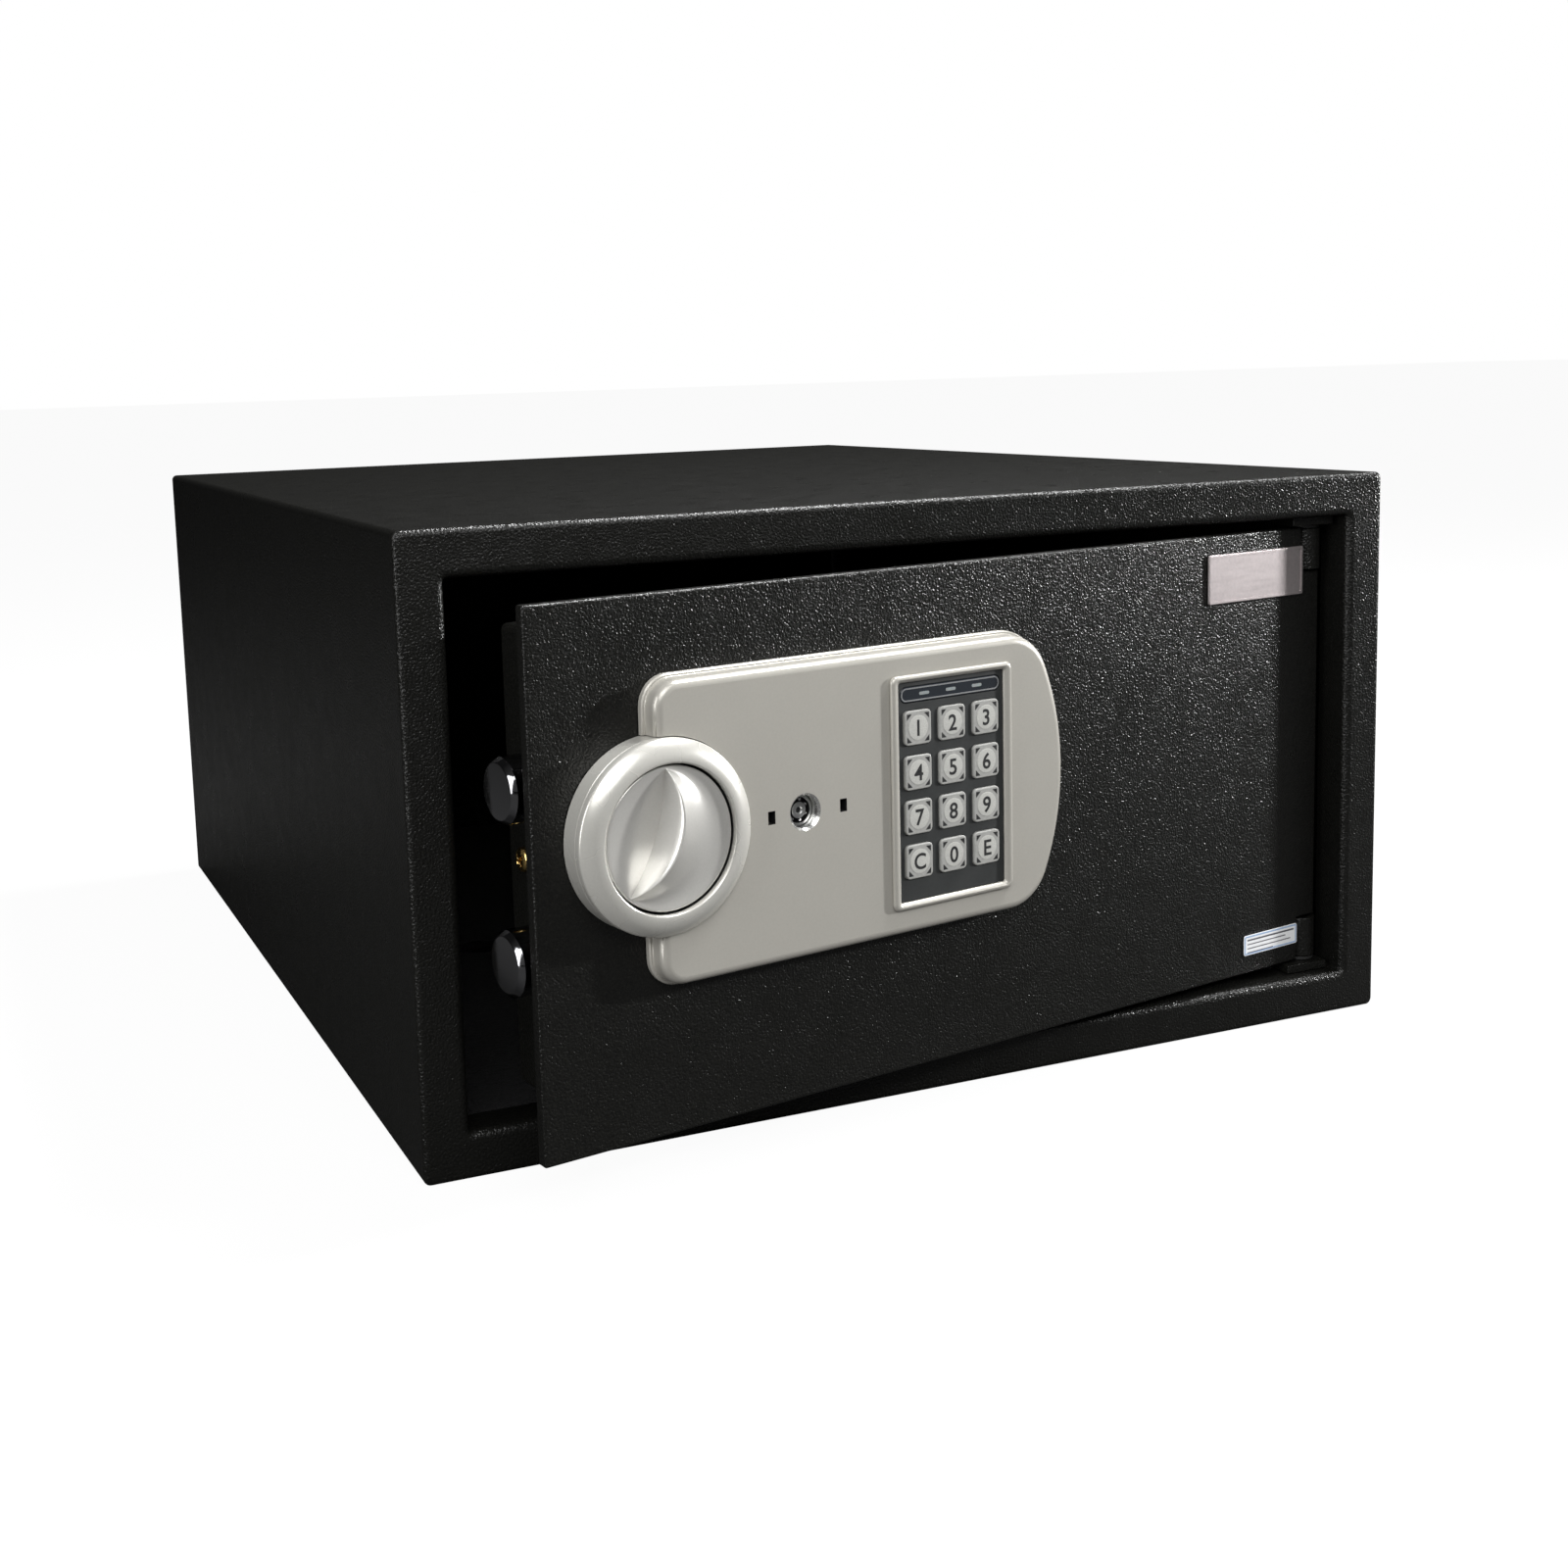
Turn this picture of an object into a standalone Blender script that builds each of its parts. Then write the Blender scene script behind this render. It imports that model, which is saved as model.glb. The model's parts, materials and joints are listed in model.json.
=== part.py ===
"""In-room hotel safe: folded steel cabinet, recessed hinged door, knob-driven bolts and keypad lock.

Metres, +Z up, the front faces -Y. The origin is the middle of the cabinet's underside.
Door pieces are laid out with the door shut, then hung on an empty on the hinge axis, which
stands REST_OPENING open. Door pieces use u, the distance from the door's free edge, z, the
height, and n, the distance in front of the door's face (negative behind it).
"""
from math import asin, atan2, cos, pi, radians, sin, sqrt

import bmesh
import bpy
from mathutils import Matrix, Vector

# Cabinet
WIDTH = 0.366
HEIGHT = 0.200
DEPTH = 0.440
SHEET = 0.002
CORNER_RADIUS = 0.004
BORDER = 0.015
LIP_DEPTH = 0.015
GAP = 0.0003
ANCHOR_HOLE_RADIUS = 0.006
WALL_HOLE_SPACING = 0.200
FLOOR_HOLE_SPACING = 0.200
MAT_THICKNESS = 0.003

# Door
RECESS = 0.010
DOOR_SHEET = 0.004
FREE_EDGE_GAP = 0.003
HINGE_EDGE_GAP = 0.005
TOP_GAP = 0.004
REST_OPENING = radians(10)
HINGE_EDGE_TO_AXIS = 0.0035
PIN_RADIUS = 0.003
KNUCKLE_RADIUS = 0.0055
KNUCKLE_LENGTH = 0.0146
BRACKET_THICKNESS = 0.003

# Lock front
LOCK_Z = 0.1115
PANEL_START = 0.037
PANEL_END = 0.1936
PANEL_HALF_HEIGHT = 0.045
PANEL_END_RADIUS = 0.088
PANEL_CORNER_RADIUS = 0.017
PANEL_LEFT_RADIUS = 0.008
PANEL_RISE = 0.008
PANEL_WALL = 0.0022
KNOB_U = 0.0389
RING_OUTER = 0.029
RING_INNER = 0.022
RING_RISE = 0.012
KNOB_RADIUS = 0.0213
KNOB_RIM = 0.0105
FIN_TOP = 0.0165
FIN_TILT = radians(-20)
FIN_HALF_LENGTH = 0.0190
FIN_TIPS_OFFSET = 0.0077
FIN_NEAR_BOW = 0.0045
FIN_FAR_BOW = 0.0085
LOCK_U = 0.0884
LOCK_RADIUS = 0.0090
LOCK_BORE = 0.0051
LOCK_FRONT = 0.0055
LOCK_BACK = -0.0280
PLUG_RADIUS = 0.0048
PLUG_FRONT = 0.0032
PLUG_BACK = -0.0310
KEY_GROOVE = (0.0026, 0.0039)
GROOVE_FLOOR = 0.0005

# Nameplate and maker's label on the door
NAMEPLATE_START = 0.2695
NAMEPLATE_LENGTH = 0.0487
NAMEPLATE_LOW = 0.1568
NAMEPLATE_HIGH = 0.1743
NAMEPLATE_RISE = 0.0011
LABEL_START = 0.2895
LABEL_END = 0.3180
LABEL_LOW = 0.0260
LABEL_HIGH = 0.0335
LABEL_RISE = 0.0006

# Keypad
PAD_U = 0.1455
PAD_Z = 0.1117
PAD_WIDTH = 0.043
PAD_HEIGHT = 0.0695
PAD_BORDER = 0.003
KEY_PITCH_U = 0.01385
KEY_PITCH_Z = 0.01415
KEY_WIDTH = 0.0107
SIDE_SCREW_DEPTH = 0.033
KEY_HEIGHT = 0.0109
KEY_TOP_ROW_Z = 0.1319
WINDOW_Z = 0.1424
WINDOW_WIDTH = 0.0405
WINDOW_HEIGHT = 0.0049
KEY_NAMES = (("1", "2", "3"), ("4", "5", "6"), ("7", "8", "9"), ("c", "0", "e"))

# Bolts and drive
BOLT_RADIUS = 0.010
BOLT_PITCH = 0.051
BOLT_MID_Z = 0.101
BOLT_BEHIND_FACE = 0.017
BOLT_LENGTH = 0.0348
BOLT_TIP_PAST_EDGE = 0.0015
BOLT_CHAMFER = 0.0025
THROW_ANGLE = radians(70)
CRANK_RADIUS = 0.009
THROW = 2 * CRANK_RADIUS * sin(THROW_ANGLE / 2)
PLUNGER_U = 0.0475
PLUNGER_RADIUS = 0.0025

# Inner cover and what it holds
COVER_SHEET = 0.0012
COVER_START = 0.015
COVER_END = 0.3055
COVER_INSET_Z = 0.010
COVER_DEPTH = 0.038
CELL_RADIUS = 0.0071
CELL_LENGTH = 0.0505
CELL_PITCH = 0.0155
CELL_U = 0.2405
CELL_COUNT = 4
CELL_BEHIND_FACE = 0.0295
TRAY_FRONT = -0.0200
TRAY_BACK = -0.0372
TRAY_WALL = 0.0015
RESET_U = 0.2915
RESET_Z = 0.152
COVER_SCREW_U = 0.027
COVER_SCREW_INSET = 0.009
SCREW_HEAD_HEIGHT = 0.0018
BOARD_FRONT = -0.0070
BOARD_THICKNESS = 0.0016

# Worked out from the sizes above
FRONT = -DEPTH / 2
OPEN_HALF = WIDTH / 2 - BORDER
OPEN_BOTTOM = BORDER
OPEN_TOP = HEIGHT - BORDER
DOOR_FACE = FRONT + RECESS
DOOR_LEFT = -OPEN_HALF + FREE_EDGE_GAP
DOOR_RIGHT = OPEN_HALF - HINGE_EDGE_GAP
DOOR_BOTTOM = OPEN_BOTTOM + TOP_GAP
DOOR_TOP = OPEN_TOP - TOP_GAP
HINGE = Vector((DOOR_RIGHT - HINGE_EDGE_TO_AXIS, DOOR_FACE + DOOR_SHEET, 0))

for old in list(bpy.data.objects):
    bpy.data.objects.remove(old, do_unlink=True)

safe_parts = bpy.data.collections.new("in_room_safe")
bpy.context.scene.collection.children.link(safe_parts)
cutters = bpy.data.collections.new("cutters")
bpy.context.scene.collection.children.link(cutters)

door_pivot = bpy.data.objects.new("door_pivot", None)
safe_parts.objects.link(door_pivot)
door_pivot.location = HINGE
door_pivot.rotation_euler.z = REST_OPENING


# ---------------------------------------------------------------- materials

def material(name, colour, roughness, metallic=0.0):
    """A Principled material with one colour, made once."""
    made = bpy.data.materials.get(name)
    if made:
        return made
    made = bpy.data.materials.new(name)
    made.use_nodes = True
    shader = made.node_tree.nodes["Principled BSDF"]
    shader.inputs["Base Color"].default_value = (*colour, 1.0)
    shader.inputs["Roughness"].default_value = roughness
    shader.inputs["Metallic"].default_value = metallic
    made.diffuse_color = (*colour, 1.0)
    return made


POWDER_COAT = material("black_powder_coat", (0.014, 0.014, 0.013), 0.55)
SILVER_PLASTIC = material("silver_plastic", (0.43, 0.41, 0.38), 0.35, 0.3)
KNOB_SILVER = material("knob_silver", (0.50, 0.49, 0.46), 0.25, 0.5)
CHROME = material("chrome", (0.75, 0.75, 0.76), 0.08, 1.0)
ZINC = material("zinc_plated_steel", (0.50, 0.50, 0.48), 0.40, 1.0)
BRASS = material("brass", (0.62, 0.45, 0.17), 0.30, 1.0)
PAD_DARK = material("keypad_dark", (0.035, 0.042, 0.050), 0.45)
KEY_GREY = material("key_grey", (0.50, 0.50, 0.48), 0.50)
SMOKED = material("smoked_window", (0.020, 0.024, 0.030), 0.15)
LED_BODY = material("led_body", (0.35, 0.38, 0.38), 0.30)
RUBBER = material("silicone", (0.12, 0.12, 0.12), 0.70)
BOARD = material("circuit_board", (0.010, 0.10, 0.035), 0.45)
BLACK_PLASTIC = material("black_plastic", (0.020, 0.020, 0.020), 0.55)
CELL = material("battery_cell", (0.10, 0.10, 0.11), 0.30)
RED_PLASTIC = material("red_plastic", (0.45, 0.015, 0.012), 0.40)
NAMEPLATE = material("nameplate_aluminium", (0.58, 0.54, 0.54), 0.40, 0.6)
LABEL = material("label_white", (0.78, 0.80, 0.84), 0.50)
CARPET = material("carpet_grey", (0.045, 0.045, 0.050), 0.95)
SPRING_STEEL = material("spring_steel", (0.60, 0.60, 0.60), 0.25, 1.0)


# ---------------------------------------------------------------- shape helpers

def finish(obj, look, collection=safe_parts):
    """Put an object in its collection with its material and smooth round faces."""
    collection.objects.link(obj)
    if look:
        obj.data.materials.append(look)
    obj.data.shade_smooth()
    obj.data.set_sharp_from_angle(angle=radians(35))
    return obj


def to_object(name, mesh_edit, look, centre, collection=safe_parts):
    mesh = bpy.data.meshes.new(name)
    bmesh.ops.recalc_face_normals(mesh_edit, faces=mesh_edit.faces)
    mesh_edit.to_mesh(mesh)
    mesh_edit.free()
    obj = bpy.data.objects.new(name, mesh)
    obj.location = centre
    return finish(obj, look, collection)


def block(name, low, high, look=None, collection=safe_parts, round_along=None, radius=0, steps=4):
    """A box between two corners; round_along names the axis whose four edges are rounded."""
    low = Vector(low)
    high = Vector(high)
    size = high - low
    edit = bmesh.new()
    bmesh.ops.create_cube(edit, size=1.0)
    bmesh.ops.scale(edit, vec=size, verts=edit.verts)
    if round_along is not None:
        edges = [e for e in edit.edges
                 if abs((e.verts[0].co - e.verts[1].co)[round_along]) > 0.5 * size[round_along]]
        bmesh.ops.bevel(edit, geom=edges, offset=radius, segments=steps, profile=0.5,
                        affect="EDGES")
    return to_object(name, edit, look, (low + high) / 2, collection)


def rod(name, centre, axis, length, radius, look=None, collection=safe_parts, sides=32):
    """A cylinder along an axis letter."""
    edit = bmesh.new()
    bmesh.ops.create_cone(edit, cap_ends=True, segments=sides, radius1=radius, radius2=radius,
                          depth=length)
    turn = {"x": Matrix.Rotation(pi / 2, 3, "Y"), "y": Matrix.Rotation(-pi / 2, 3, "X"),
            "z": Matrix.Identity(3)}[axis]
    bmesh.ops.rotate(edit, verts=edit.verts, matrix=turn)
    return to_object(name, edit, look, centre, collection)


def turned(name, profile, centre, look, sides=48):
    """A Screw-modifier solid from (radius, height) points, top to bottom down the outside.

    The turning axis is the door's normal, with heights counted forward from the door's face.
    """
    mesh = bpy.data.meshes.new(name)
    edit = bmesh.new()
    points = [edit.verts.new((r, 0, h)) for r, h in profile]
    for first, second in zip(points, points[1:]):
        edit.edges.new((first, second))
    if profile[0][0] > 0:
        edit.edges.new((points[-1], points[0]))
    edit.to_mesh(mesh)
    edit.free()
    obj = bpy.data.objects.new(name, mesh)
    obj.location = centre
    obj.rotation_euler.x = pi / 2
    screw = obj.modifiers.new("turn", "SCREW")
    screw.axis = "Z"
    screw.angle = 2 * pi
    screw.steps = sides
    screw.render_steps = sides
    screw.use_merge_vertices = True
    screw.merge_threshold = 0.00001
    screw.use_smooth_shade = True
    safe_parts.objects.link(obj)
    mesh.materials.append(look)
    return obj


def arc(centre_u, centre_z, radius, start, end, steps):
    """Points round an arc, ends included, angles in radians from +u towards +z."""
    return [(centre_u + radius * cos(start + (end - start) * i / steps),
             centre_z + radius * sin(start + (end - start) * i / steps)) for i in range(steps + 1)]


def flat_outline(name, points, back, front, look=None, collection=safe_parts):
    """A filled 2D curve of (u, z) points, as thick as from n = back to n = front."""
    curve = bpy.data.curves.new(name, "CURVE")
    curve.dimensions = "2D"
    curve.fill_mode = "BOTH"
    curve.extrude = (front - back) / 2
    spline = curve.splines.new("POLY")
    spline.points.add(len(points) - 1)
    for point, (u, z) in zip(spline.points, points):
        point.co = (DOOR_LEFT + u, z, 0, 1)
    spline.use_cyclic_u = True
    sketch = bpy.data.objects.new(name + "_sketch", curve)
    cutters.objects.link(sketch)
    graph = bpy.context.evaluated_depsgraph_get()
    graph.update()
    mesh = bpy.data.meshes.new_from_object(sketch.evaluated_get(graph))
    mesh.name = name
    edit = bmesh.new()
    edit.from_mesh(mesh)
    bmesh.ops.remove_doubles(edit, verts=edit.verts, dist=0.000001)
    bmesh.ops.recalc_face_normals(edit, faces=edit.faces)
    edit.to_mesh(mesh)
    edit.free()
    bpy.data.objects.remove(sketch, do_unlink=True)
    obj = bpy.data.objects.new(name, mesh)
    obj.rotation_euler.x = pi / 2
    obj.location = (0, DOOR_FACE - (front + back) / 2, 0)
    return finish(obj, look, collection)


def hide_cutter(cutter):
    cutter.hide_render = True
    cutter.display_type = "WIRE"
    return cutter


def combine(obj, other, operation):
    """A Boolean modifier with a guide object, which then leaves the model."""
    hide_cutter(other)
    change = obj.modifiers.new(operation.lower(), "BOOLEAN")
    change.operation = operation
    change.solver = "EXACT"
    change.object = other
    return obj


def cut(obj, *others):
    for other in others:
        combine(obj, other, "DIFFERENCE")
    return obj


def join(obj, *others):
    for other in others:
        combine(obj, other, "UNION")
    return obj


def on_door(*pieces):
    """Hang pieces, placed as with the door shut, on the door's pivot."""
    for piece in pieces:
        piece.location = Vector(piece.location) - HINGE
        piece.parent = door_pivot
    return pieces[0]


def door_block(name, u, z, n, look=None, **options):
    """A block from (start, end) pairs of u, z and n, on the door."""
    low = (DOOR_LEFT + u[0], DOOR_FACE - n[1], z[0])
    high = (DOOR_LEFT + u[1], DOOR_FACE - n[0], z[1])
    return on_door(block(name, low, high, look, **options))


def door_rod(name, u, z, n, radius, look=None, **options):
    """A rod along the door's normal, from n[0] to n[1], on the door."""
    centre = (DOOR_LEFT + u, DOOR_FACE - (n[0] + n[1]) / 2, z)
    return on_door(rod(name, centre, "y", n[1] - n[0], radius, look, **options))


# ---------------------------------------------------------------- cabinet

def tube(name, half_width, bottom, top, front, back, wall, radius, look):
    """A rectangular sheet tube along Y with rounded corners."""
    outer = block(name, (-half_width, front, bottom), (half_width, back, top), look,
                  round_along=1, radius=radius, steps=5)
    inner = block(name + "_hollow", (-half_width + wall, front - wall, bottom + wall),
                  (half_width - wall, back + wall, top - wall), collection=cutters,
                  round_along=1, radius=max(radius - wall, 0.0005), steps=3)
    return cut(outer, inner)


def anchor_hole(name, x, y, z, axis):
    return rod(name, (x, y, z), axis, 6 * SHEET, ANCHOR_HOLE_RADIUS, collection=cutters, sides=24)


def make_cabinet():
    wrap = tube("cabinet_wrap", WIDTH / 2, 0, HEIGHT, FRONT + SHEET + GAP, DEPTH / 2, SHEET,
                CORNER_RADIUS, POWDER_COAT)
    for side, x in (("left", -FLOOR_HOLE_SPACING / 2), ("right", FLOOR_HOLE_SPACING / 2)):
        cut(wrap, anchor_hole(f"floor_hole_{side}", x, 0, 0, "z"))

    frame = block("front_frame", (-WIDTH / 2, FRONT, 0), (WIDTH / 2, FRONT + SHEET, HEIGHT),
                  POWDER_COAT, round_along=1, radius=CORNER_RADIUS, steps=5)
    lip = block("lip_outer", (-OPEN_HALF - SHEET, FRONT + SHEET / 2, OPEN_BOTTOM - SHEET),
                (OPEN_HALF + SHEET, FRONT + LIP_DEPTH, OPEN_TOP + SHEET), collection=cutters)
    opening = block("opening", (-OPEN_HALF, FRONT - SHEET, OPEN_BOTTOM),
                    (OPEN_HALF, FRONT + 2 * LIP_DEPTH, OPEN_TOP), collection=cutters)
    join(frame, lip)
    cut(frame, opening)

    inside = WIDTH / 2 - SHEET - GAP
    back = block("back_panel", (-inside, DEPTH / 2 - SHEET, SHEET + GAP),
                 (inside, DEPTH / 2, HEIGHT - SHEET - GAP), POWDER_COAT,
                 round_along=1, radius=CORNER_RADIUS - SHEET, steps=3)
    for side, x in (("left", -WALL_HOLE_SPACING / 2), ("right", WALL_HOLE_SPACING / 2)):
        cut(back, anchor_hole(f"wall_hole_{side}", x, DEPTH / 2, HEIGHT / 2, "y"))

    mat = block("floor_mat", (-inside + 0.001, FRONT + 0.020, SHEET + GAP),
                (inside - 0.001, DEPTH / 2 - SHEET - 0.001, SHEET + GAP + MAT_THICKNESS), CARPET,
                round_along=2, radius=0.004, steps=3)
    for side, x in (("left", -FLOOR_HOLE_SPACING / 2), ("right", FLOOR_HOLE_SPACING / 2)):
        cut(mat, rod(f"mat_hole_{side}", (x, 0, MAT_THICKNESS), "z", 0.02, 0.009,
                     collection=cutters, sides=24))


def make_hinge(name, end, inward):
    """One pivot: bracket and pin on the frame, washer, and the knuckle on the door.

    end is the height of the opening's edge there and inward the direction away from it.
    """
    def levels(first, second):
        return sorted((end + inward * first, end + inward * second))

    x, y, _ = HINGE
    bottom, top = levels(GAP, GAP + BRACKET_THICKNESS)
    bracket = block(f"hinge_bracket_{name}", (x - 0.0115, y - 0.008, bottom),
                    (OPEN_HALF - SHEET - GAP, y + 0.009, top), POWDER_COAT)
    start = GAP + BRACKET_THICKNESS / 2
    stop = GAP + BRACKET_THICKNESS + 0.0155
    middle = end + inward * (start + stop) / 2
    pin = rod(f"hinge_pin_{name}", (x, y, middle), "z", stop - start, PIN_RADIUS,
              collection=cutters, sides=24)
    join(bracket, pin)

    bottom, top = levels(GAP + BRACKET_THICKNESS + GAP, GAP + BRACKET_THICKNESS + GAP + 0.001)
    washer = rod(f"hinge_washer_{name}", (x, y, (bottom + top) / 2), "z", top - bottom, 0.0052,
                 BLACK_PLASTIC, sides=32)
    cut(washer, rod(f"washer_bore_{name}", (x, y, (bottom + top) / 2), "z", 0.01,
                    PIN_RADIUS + GAP, collection=cutters, sides=24))

    bottom, top = levels(GAP + BRACKET_THICKNESS + 2 * GAP + 0.001,
                         GAP + BRACKET_THICKNESS + 2 * GAP + 0.001 + KNUCKLE_LENGTH)
    middle = (bottom + top) / 2
    knuckle = on_door(rod(f"hinge_knuckle_{name}", (x, y, middle), "z", top - bottom,
                          KNUCKLE_RADIUS, POWDER_COAT, sides=32))
    leaf = on_door(block(f"hinge_leaf_{name}", (x - 0.018, y + GAP, bottom + 0.0005),
                         (x, y + GAP + 0.0025, top - 0.0005), collection=cutters))
    bore = on_door(rod(f"knuckle_bore_{name}", (x, y, middle), "z", 0.03, PIN_RADIUS + GAP,
                       collection=cutters, sides=24))
    join(knuckle, leaf)
    cut(knuckle, bore)


# ---------------------------------------------------------------- door

def make_door_plate():
    width = DOOR_RIGHT - DOOR_LEFT
    plate = door_block("door_plate", (0, width), (DOOR_BOTTOM, DOOR_TOP), (-DOOR_SHEET, 0),
                       POWDER_COAT)
    notch = KNUCKLE_RADIUS + HINGE_EDGE_TO_AXIS + 0.0003
    for name, low, high in (("lower", DOOR_BOTTOM - 0.01, DOOR_BOTTOM + 0.0166),
                            ("upper", DOOR_TOP - 0.0166, DOOR_TOP + 0.01)):
        cut(plate, door_block(f"knuckle_notch_{name}", (width - notch, width + 0.01), (low, high),
                              (-0.02, 0.02), collection=cutters))
    cut(plate,
        door_rod("spindle_hole", KNOB_U, LOCK_Z, (-0.02, 0.02), 0.0046, collection=cutters,
                 sides=24),
        door_rod("lock_hole", LOCK_U, LOCK_Z, (-0.02, 0.02), 0.0094, collection=cutters, sides=32),
        door_block("cable_hole", (PAD_U - 0.010, PAD_U + 0.010), (PAD_Z - 0.004, PAD_Z + 0.004),
                   (-0.02, 0.02), collection=cutters, round_along=1, radius=0.002, steps=3))


def make_nameplate():
    door_block("nameplate", (NAMEPLATE_START, NAMEPLATE_START + NAMEPLATE_LENGTH),
               (NAMEPLATE_LOW, NAMEPLATE_HIGH), (GAP, NAMEPLATE_RISE), NAMEPLATE,
               round_along=1, radius=0.0006, steps=2)
    door_block("maker_label", (LABEL_START, LABEL_END), (LABEL_LOW, LABEL_HIGH),
               (GAP, LABEL_RISE), LABEL)


def make_inner_cover():
    """The pan behind the door plate, with the bolts' holes, the battery hatch and a button."""
    low = DOOR_BOTTOM + COVER_INSET_Z
    high = DOOR_TOP - COVER_INSET_Z
    front = -DOOR_SHEET - GAP
    back = front - COVER_DEPTH
    cover = door_block("door_inner_cover", (COVER_START, COVER_END), (low, high), (back, front),
                       POWDER_COAT, round_along=1, radius=0.002, steps=3)
    hollow = door_block("cover_hollow", (COVER_START + COVER_SHEET, COVER_END - COVER_SHEET),
                        (low + COVER_SHEET, high - COVER_SHEET),
                        (back + COVER_SHEET, front + 0.01), collection=cutters)
    cut(cover, hollow)
    for name, z in bolt_heights():
        hole = rod(f"cover_bolt_hole_{name}",
                   (DOOR_LEFT + COVER_START, DOOR_FACE + BOLT_BEHIND_FACE, z), "x", 0.01,
                   BOLT_RADIUS + 0.0008, collection=cutters, sides=32)
        cut(cover, on_door(hole))
    hatch_half_u = CELL_LENGTH / 2 + 0.0035
    hatch_half_z = CELL_COUNT * CELL_PITCH / 2 + 0.0015
    cut(cover, door_block("hatch_hole", (CELL_U - hatch_half_u, CELL_U + hatch_half_u),
                          (BOLT_MID_Z - hatch_half_z, BOLT_MID_Z + hatch_half_z),
                          (back - 0.01, back + 0.006), collection=cutters))
    cut(cover, door_rod("reset_hole", RESET_U, RESET_Z, (back - 0.01, back + 0.006), 0.0038,
                        collection=cutters, sides=24))

    door_block("battery_cover",
               (CELL_U - hatch_half_u - 0.004, CELL_U + hatch_half_u + 0.004),
               (BOLT_MID_Z - hatch_half_z - 0.004, BOLT_MID_Z + hatch_half_z + 0.004),
               (back - GAP - 0.002, back - GAP), BLACK_PLASTIC,
               round_along=1, radius=0.003, steps=3)
    door_rod("reset_button", RESET_U, RESET_Z, (back - 0.0015, back + 0.004), 0.0033, RED_PLASTIC,
             sides=24)
    for place, z in (("upper", high - COVER_SCREW_INSET), ("lower", low + COVER_SCREW_INSET)):
        door_rod(f"cover_screw_{place}", COVER_SCREW_U, z, (back - GAP - SCREW_HEAD_HEIGHT, back - GAP),
                 0.0035, ZINC, sides=24)
    screw = rod("cover_side_screw",
                (DOOR_LEFT + COVER_START - GAP - SCREW_HEAD_HEIGHT / 2,
                 DOOR_FACE + SIDE_SCREW_DEPTH, BOLT_MID_Z),
                "x", SCREW_HEAD_HEIGHT, 0.0038, BRASS, sides=24)
    on_door(screw)


def make_electronics():
    """The control board, the battery tray and its four cells."""
    door_block("control_board", (0.110, 0.195), (0.045, 0.155),
               (BOARD_FRONT - BOARD_THICKNESS, BOARD_FRONT), BOARD)
    half_u = CELL_LENGTH / 2 + 0.0055
    half_z = CELL_COUNT * CELL_PITCH / 2 + 0.0035
    tray = door_block("battery_tray", (CELL_U - half_u, CELL_U + half_u),
                      (BOLT_MID_Z - half_z, BOLT_MID_Z + half_z), (TRAY_BACK, TRAY_FRONT),
                      BLACK_PLASTIC)
    cut(tray, door_block("tray_hollow",
                         (CELL_U - half_u + TRAY_WALL, CELL_U + half_u - TRAY_WALL),
                         (BOLT_MID_Z - half_z + TRAY_WALL, BOLT_MID_Z + half_z - TRAY_WALL),
                         (TRAY_BACK - 0.01, TRAY_FRONT - TRAY_WALL), collection=cutters))
    for index in range(CELL_COUNT):
        z = BOLT_MID_Z + (index - (CELL_COUNT - 1) / 2) * CELL_PITCH
        cell = rod(f"battery_{index + 1}", (DOOR_LEFT + CELL_U, DOOR_FACE + CELL_BEHIND_FACE, z), "x",
                   CELL_LENGTH, CELL_RADIUS, CELL, sides=24)
        on_door(cell)


# ---------------------------------------------------------------- lock front

def panel_outline(grow=0.0):
    """The lock panel: rounded square corners at the knob, a bowed end beyond the keypad."""
    half = PANEL_HALF_HEIGHT + grow
    corner = PANEL_CORNER_RADIUS + grow
    bow = PANEL_END_RADIUS + grow
    left = PANEL_LEFT_RADIUS + grow
    bow_u = PANEL_END + grow - bow
    corner_rise = half - corner
    corner_u = bow_u + sqrt((bow - corner) ** 2 - corner_rise ** 2)
    meet = atan2(corner_rise, corner_u - bow_u)
    start = PANEL_START - grow + left
    points = arc(bow_u, LOCK_Z, bow, -meet, meet, 10)
    points += arc(corner_u, LOCK_Z + corner_rise, corner, meet, pi / 2, 6)[1:]
    points += arc(start, LOCK_Z + half - left, left, pi / 2, pi, 6)
    points += arc(start, LOCK_Z - half + left, left, pi, 1.5 * pi, 6)
    points += arc(corner_u, LOCK_Z - corner_rise, corner, 1.5 * pi, 2 * pi - meet, 6)[:-1]
    return points


def soften_front(obj, width, steps):
    """Round the edges of the face that looks forward."""
    edit = bmesh.new()
    edit.from_mesh(obj.data)
    top = max(v.co.z for v in edit.verts)
    edges = [e for e in edit.edges if all(abs(v.co.z - top) < 1e-6 for v in e.verts)
             and e.calc_face_angle(0) > 1]
    bmesh.ops.bevel(edit, geom=edges, offset=width, segments=steps, profile=0.5, affect="EDGES")
    edit.to_mesh(obj.data)
    edit.free()
    return obj


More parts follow.
